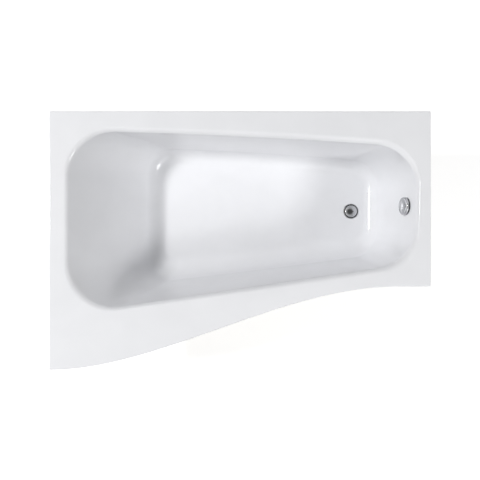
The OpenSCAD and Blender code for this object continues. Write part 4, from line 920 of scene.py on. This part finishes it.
def turned_piece(node, profile, line, finish, around=48, places=((0, 0, 0),), sharp=35):
    """A turned solid from rows of (distance along the line, radius, flats, lobes)."""
    rows = [(*row, 0, 0)[:4] for row in profile]
    spare = [0.0] * (len(line) + len(places))
    source = point_mesh(node + "_source", len(rows) + len(spare),
        {"spot": [(r, along, 0) for along, r, _, _ in rows] + list(line) + list(places)},
        {"role": [0.0] * len(rows) + [1.0] * len(line) + [2.0] * len(places),
        "flats": [float(row[2]) for row in rows] + spare,
        "lobes": [float(row[3]) for row in rows] + spare})
    piece = grown(node.replace("foot_stud", "threaded_rod") + "_turned", source, turned_tree,
        {"Around": around, "Finish": finish.material})
    shape = bmesh.new()
    shape.from_mesh(piece.data)
    bmesh.ops.recalc_face_normals(shape, faces=shape.faces)
    shape.to_mesh(piece.data)
    shape.free()
    return hand_over(piece, node, sharp)


def loose_boxes(node):
    """The corners of each loose part of a CAD node, such as one screw of a set."""
    shape = bmesh.new()
    shape.from_mesh(nodes[node].data)
    bmesh.ops.remove_doubles(shape, verts=shape.verts, dist=touching)
    left, boxes = set(shape.verts), []
    while left:
        grow, part = [left.pop()], []
        while grow:
            vertex = grow.pop()
            part.append(vertex.co.copy())
            near = {edge.other_vert(vertex) for edge in vertex.link_edges} & left
            left -= near
            grow += near
        boxes.append([Vector(f(c[k] for c in part) for k in range(3)) for f in (min, max)])
    shape.free()
    return boxes


# %% [markdown]
# ## Threaded rods, nuts and screws
# The feet stand on M10 rods, cut from the length, with two lock nuts each. At a pitch of 1.5 mm a
# thread's slope can't be seen, so its crests are plain rings, which close cleanly. The nuts have
# flats and a chamfer on both faces. The screws have a pan head with a cross slot, and point up.

# %% Threaded rods
pitch, crest, root = 0.0015, 0.0050, 0.0042
rod_chamfer = 0.001
for foot in feet:
    low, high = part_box("foot_stud_" + foot)
    x, y, length = (low.x + high.x) / 2, (low.y + high.y) / 2, high.z - low.z
    turns = int((length - 2 * rod_chamfer) / pitch)
    rows = [(0, 0), (0, root), (rod_chamfer, crest)]
    for turn in range(turns):
        rows += [(rod_chamfer + pitch * (turn + 0.5), root),
            (rod_chamfer + pitch * (turn + 1), crest)]
    rows += [(length, root), (length, 0)]
    turned_piece("foot_stud_" + foot, rows, [(x, y, low.z), (x, y, high.z)], plated, around=24,
        sharp=60)
print("turns of thread on the last rod:", turns)

# %% Lock nuts
def feet_of(boxes):
    """The middle of each box's lower face, where a piece that points up is placed."""
    return [((a.x + b.x) / 2, (a.y + b.y) / 2, a.z) for a, b in boxes]


nut_h, nut_flat, nut_bore = 0.008, 0.0085, 0.00505
bore_ease, face_ease, flat_ease = 0.0006, 0.0003, 0.0008
nut_rows = [(bore_ease, nut_bore), (0, nut_bore + bore_ease), (0, nut_flat - face_ease),
    (flat_ease, nut_flat, 1), (nut_h - flat_ease, nut_flat, 1), (nut_h, nut_flat - face_ease),
    (nut_h, nut_bore + bore_ease), (nut_h - bore_ease, nut_bore), (bore_ease, nut_bore)]
nut_places = feet_of(loose_boxes("lock_nuts"))
turned_piece("lock_nuts", nut_rows, [(0, 0, 0), (0, 0, nut_h)], plated, around=36,
    places=nut_places)
print("lock nuts:", len(nut_places))

# %% Screws
head_h, head_r, shank_r, screw_root, screw_pitch, tip = 0.003, 0.0045, 0.0023, 0.0017, 0.002, 0.004
head_rows = [(0.0016, 0), (0.0016, 0.0008, 0, 1), (0, 0.0022, 0, 1), (0, 0.0033),
    (0.0003, 0.0040), (0.0010, 0.0044), (0.0018, head_r), (head_h, head_r), (head_h, shank_r)]
for node in ("channel_screws", "bracket_screws"):
    boxes = loose_boxes(node)
    length = boxes[0][1].z - boxes[0][0].z
    rows = list(head_rows)
    for turn in range(int((length - head_h - tip) / screw_pitch)):
        rows += [(head_h + screw_pitch * (turn + 0.6), screw_root),
            (head_h + screw_pitch * (turn + 1), shank_r)]
    rows += [(length, 0)]
    turned_piece(node, rows, [(0, 0, 0), (0, 0, length)], plated, around=24, places=feet_of(boxes))
    print(node, len(boxes))

# %% [markdown]
# ## Hose and cable
# The overflow's hose is corrugated so that it bends without closing. It leaves the waste level,
# turns up in a quarter circle and rises to the overflow. The control cable runs beside it in a
# plain sleeve with a crimped ferrule at each end. Both are held at both ends, so they stay still.

# %% A line with a quarter bend
def quarter_line(start, level, bend_r, rise, drift=0.0, hold=0.0, steps=24, rise_steps=8):
    """Points along a level run, a quarter bend and a rise, with an even sideways drift."""
    total = level + math.pi / 2 * bend_r + rise
    points = [(0.0, 0.0, 0.0)]
    points += [(level + bend_r * math.sin(a), bend_r * (1 - math.cos(a)), level + bend_r * a)
        for a in (math.pi / 2 * k / steps for k in range(steps + 1))]
    points += [(level + bend_r, bend_r + risen, total - rise + risen)
        for risen in (rise * k / rise_steps for k in range(1, rise_steps + 1))]
    drawn = []
    for x, z, along in points:
        share = min(max((along / total - hold) / (1 - 2 * hold), 0), 1)
        drawn.append((start[0] + x, start[1] + drift * share, start[2] + z))
    return drawn, total


hose_bend = 0.092
print("bend radius:", hose_bend, "m")

# %% Overflow hose
hose_start, hose_level, hose_top = (0.562, 0.148, 0.121), 0.04595, 0.417
hose_line, hose_l = quarter_line(hose_start, hose_level, hose_bend,
    hose_top - hose_start[2] - hose_bend, drift=-0.007, hold=0.033)
hose_r, groove, bore, cuff_bore, cuff = 0.015, 0.0022, 0.0119, 0.0124, 0.016
ribs, bore_rows = 48, 41              # the bore follows the bend too, so it has rows of its own
rib_l = (hose_l - 2 * cuff) / ribs
wave = ((0.0, 1.0), (0.12, 0.55), (0.22, 0.12), (0.36, 0.0), (0.64, 0.0), (0.78, 0.12),
    (0.88, 0.55))                     # (share of a rib, how deep in the groove)
hose_rows = [(0, hose_r)] + [(cuff + rib_l * (k + share), hose_r - groove * deep)
    for k in range(ribs) for share, deep in wave]
hose_rows += [(hose_l - cuff, hose_r - groove), (hose_l - cuff * 0.9, hose_r), (hose_l, hose_r),
    (hose_l, cuff_bore), (hose_l - cuff, cuff_bore)]
hose_rows += [(hose_l - cuff * 1.1 - (hose_l - 2.2 * cuff) * k / (bore_rows - 1), bore)
    for k in range(bore_rows)]
hose_rows += [(cuff, cuff_bore), (0, cuff_bore), (0, hose_r)]
turned_piece("overflow_hose", hose_rows, hose_line, grey_plastic, around=36, sharp=60)
print("hose", round(hose_l, 4), "m")

# %% Control cable
cable_start, cable_level, cable_top = (0.554, 0.119, 0.111), 0.05795, 0.431
cable_line, cable_l = quarter_line(cable_start, cable_level, hose_bend,
    cable_top - cable_start[2] - hose_bend)
sleeve, ferrule, ferrule_l, ferrule_ease, sleeve_rows = 0.0022, 0.0025, 0.009, 0.0003, 60
ferrule_rows = [(0, 0), (0, ferrule - ferrule_ease), (ferrule_ease, ferrule),
    (ferrule_l, ferrule), (ferrule_l + ferrule_ease, ferrule - ferrule_ease),
    (ferrule_l + ferrule_ease, sleeve)]
sleeve_start = ferrule_l + ferrule_ease
sleeve_l = cable_l - 2 * sleeve_start
cable_rows = ferrule_rows + [(sleeve_start + sleeve_l * k / sleeve_rows, sleeve)
    for k in range(1, sleeve_rows)]
cable_rows += [(cable_l - along, radius) for along, radius in reversed(ferrule_rows)]
turned_piece("control_cable", cable_rows, cable_line, black_plastic, around=24)
print("cable", round(cable_l, 4), "m")

# %% [markdown]
# ## Eased edges on the other pieces
# No sawn board, bent strip or moulded nut has a knife edge. A copy of each CAD mesh is merged, its
# flat triangles are joined, and a small bevel eases its edges, so that they catch the light.

# %% Eased copies
def eased(node, width, finish):
    """A copy of a CAD node with bevelled edges of a given width."""
    shape = bmesh.new()
    shape.from_mesh(nodes[node].data)
    bmesh.ops.remove_doubles(shape, verts=shape.verts, dist=touching)
    bmesh.ops.dissolve_limit(shape, angle_limit=flat_angle, verts=shape.verts, edges=shape.edges)
    mesh = bpy.data.meshes.new(node + "_eased")
    shape.to_mesh(mesh)
    shape.free()
    piece = bpy.data.objects.new(node + "_eased", mesh)
    bpy.context.scene.collection.objects.link(piece)
    bevel = piece.modifiers.new("bevel", "BEVEL")
    bevel.width, bevel.segments, bevel.limit_method = width, 2, "ANGLE"
    bevel.angle_limit = edge_angle
    evaluated = piece.evaluated_get(bpy.context.evaluated_depsgraph_get())
    piece.data = bpy.data.meshes.new_from_object(evaluated)
    piece.modifiers.clear()
    piece.data.materials.clear()
    piece.data.materials.append(finish.material)
    return hand_over(piece, node)


flat_angle = 0.01                     # triangles that lie this flat, in radians, are one face
edge_angle = math.radians(40)         # and an edge sharper than this gets a bevel
eases = [(0.0012, ("rim_board_wall", "rim_board_head", "rim_board_foot", "rim_board_front")),
    (0.0006, ("head_channel", "foot_channel", "centre_bracket", "wall_bracket_head",
        "wall_bracket_foot")),
    (0.0008, ("trap_body",)),
    (0.0005, ("trap_nut", "outlet_nut", "hose_nut_waste", "hose_nut_overflow", "waste_body",
        "overflow_body")),
    (0.0008, ["foot_pad_" + foot for foot in feet]),
    (0.0002, ("plug_cap", "overflow_ring", "overflow_knob"))]
for width, names in eases:
    for node in names:
        piece = eased(node, width, finish_of.get(node, white_plastic))
        print(node, len(piece.data.polygons), "faces")

# %% [markdown]
# ## Studio
# The bath stands on a pale floor in soft light, as in a catalogue. Camera, glossy and transmission
# rays see a white surround, which whitens the background without putting more light on the bath.
# The floor lies a little below the feet, so that a foot wound right out doesn't sink into it.

# %% Floor
def looked_at(board):
    """The camera ray's wire, and one that is 1 for all rays that show the surround."""
    ray = board.add("ShaderNodeLightPath", out="Is Camera Ray")
    return ray, board.maths("MAXIMUM", ray, board.maths("MAXIMUM", ray.other("Is Glossy Ray"),
        ray.other("Is Transmission Ray")))


floor_paint, glow_near, glow_far = (0.80, 0.80, 0.80, 1), 0.55, 1.0
glow_start, glow_full = 1.6, 5.0      # metres from the middle of the floor
floor_material = bpy.data.materials.new("studio_floor")
floor_material.use_nodes = True
floor_board = Board(floor_material.node_tree)
floor_board.tree.nodes.clear()
seen = looked_at(floor_board)[1]
paint = floor_board.add("ShaderNodeBsdfDiffuse", None, {"Color": floor_paint})
spread = floor_board.add("ShaderNodeTexCoord", out="Object")
from_middle = floor_board.vector("LENGTH", spread).other("Value")
far = floor_board.add("ShaderNodeMapRange", None, {"Value": from_middle, "From Min": glow_start,
    "From Max": glow_full, "To Min": glow_near, "To Max": glow_far})
glow = floor_board.add("ShaderNodeEmission", None, {"Color": (1, 1, 1, 1), "Strength": seen * far})
floor_sum = floor_board.add("ShaderNodeAddShader", None, {0: paint, 1: glow})
floor_board.add("ShaderNodeOutputMaterial", None, {"Surface": floor_sum})
floor_mesh = bpy.data.meshes.new("floor")
floor_half, floor_level = 12.0, -0.026  # just under a foot wound 25 mm out
floor_mesh.from_pydata([(x * floor_half, y * floor_half, floor_level)
    for x, y in ((-1, -1), (1, -1), (1, 1), (-1, 1))], [], [(0, 1, 2, 3)])
floor_mesh.materials.append(floor_material)
floor = bpy.data.objects.new("floor", floor_mesh)
bpy.context.scene.collection.objects.link(floor)
print("floor ready")

# %% [markdown]
# Chrome looks like chrome only when it has something dark to show. So mirror rays that leave
# straight up meet a dark ceiling, as in a studio, and all others meet white. Light on the bath
# doesn't change, because only the rays that show the surround see the ceiling.

# %% Surround
world = bpy.data.worlds.new("surround")
world.use_nodes = True
bpy.context.scene.world = world
sky = Board(world.node_tree)
sky.tree.nodes.clear()
camera_ray, seen_sky = looked_at(sky)
ceiling_tone, ceiling_edge, ceiling_full = 0.10, 0.80, 0.96
ambient = 0.196                       # what the surround adds to the light on the bath
upward = sky.add("ShaderNodeTexCoord", out="Generated")
height = sky.add("ShaderNodeSeparateXYZ", None, {0: upward}).other("Z")
ceiling = sky.add("ShaderNodeMapRange", None, {"Value": height, "From Min": ceiling_edge,
    "From Max": ceiling_full})
lit = 1 - ceiling * (1 - ceiling_tone) * (1 - camera_ray)
surround = sky.add("ShaderNodeBackground", None,
    {"Color": (1, 1, 1, 1), "Strength": seen_sky * lit + (1 - seen_sky) * ambient})
sky.add("ShaderNodeOutputWorld", None, {"Surface": surround})
print("surround ready")

# %% [markdown]
# Three softboxes light the bath. The key stands beyond the head end and draws the bright line in
# the hollow beside the waste. The foot lamp lights the backrest, throws the front wall's shadow on
# its corner and leaves the small spot in the hollow. The weak front lamp opens that shadow.

# %% Lamps
def lamp(name, place, size, watts, aim=(0, 0, 0.4)):
    """A softbox at place, turned towards aim."""
    data = bpy.data.lights.new(name, "AREA")
    data.shape, data.energy = "RECTANGLE", watts
    data.size, data.size_y = size
    obj = bpy.data.objects.new(name, data)
    obj.location = place
    obj.rotation_euler = (Vector(aim) - Vector(place)).to_track_quat("-Z", "Y").to_euler()
    bpy.context.scene.collection.objects.link(obj)


lamp("key_head", (-4.6, 0.65, 5.2), (1.2, 0.45), 303)
lamp("fill_foot", (4.75, -2.3, 4.8), (1.8, 1.3), 164)
lamp("fill_front", (1.6, -2.4, 2.6), (2.0, 1.2), 16)
print("lamps ready")
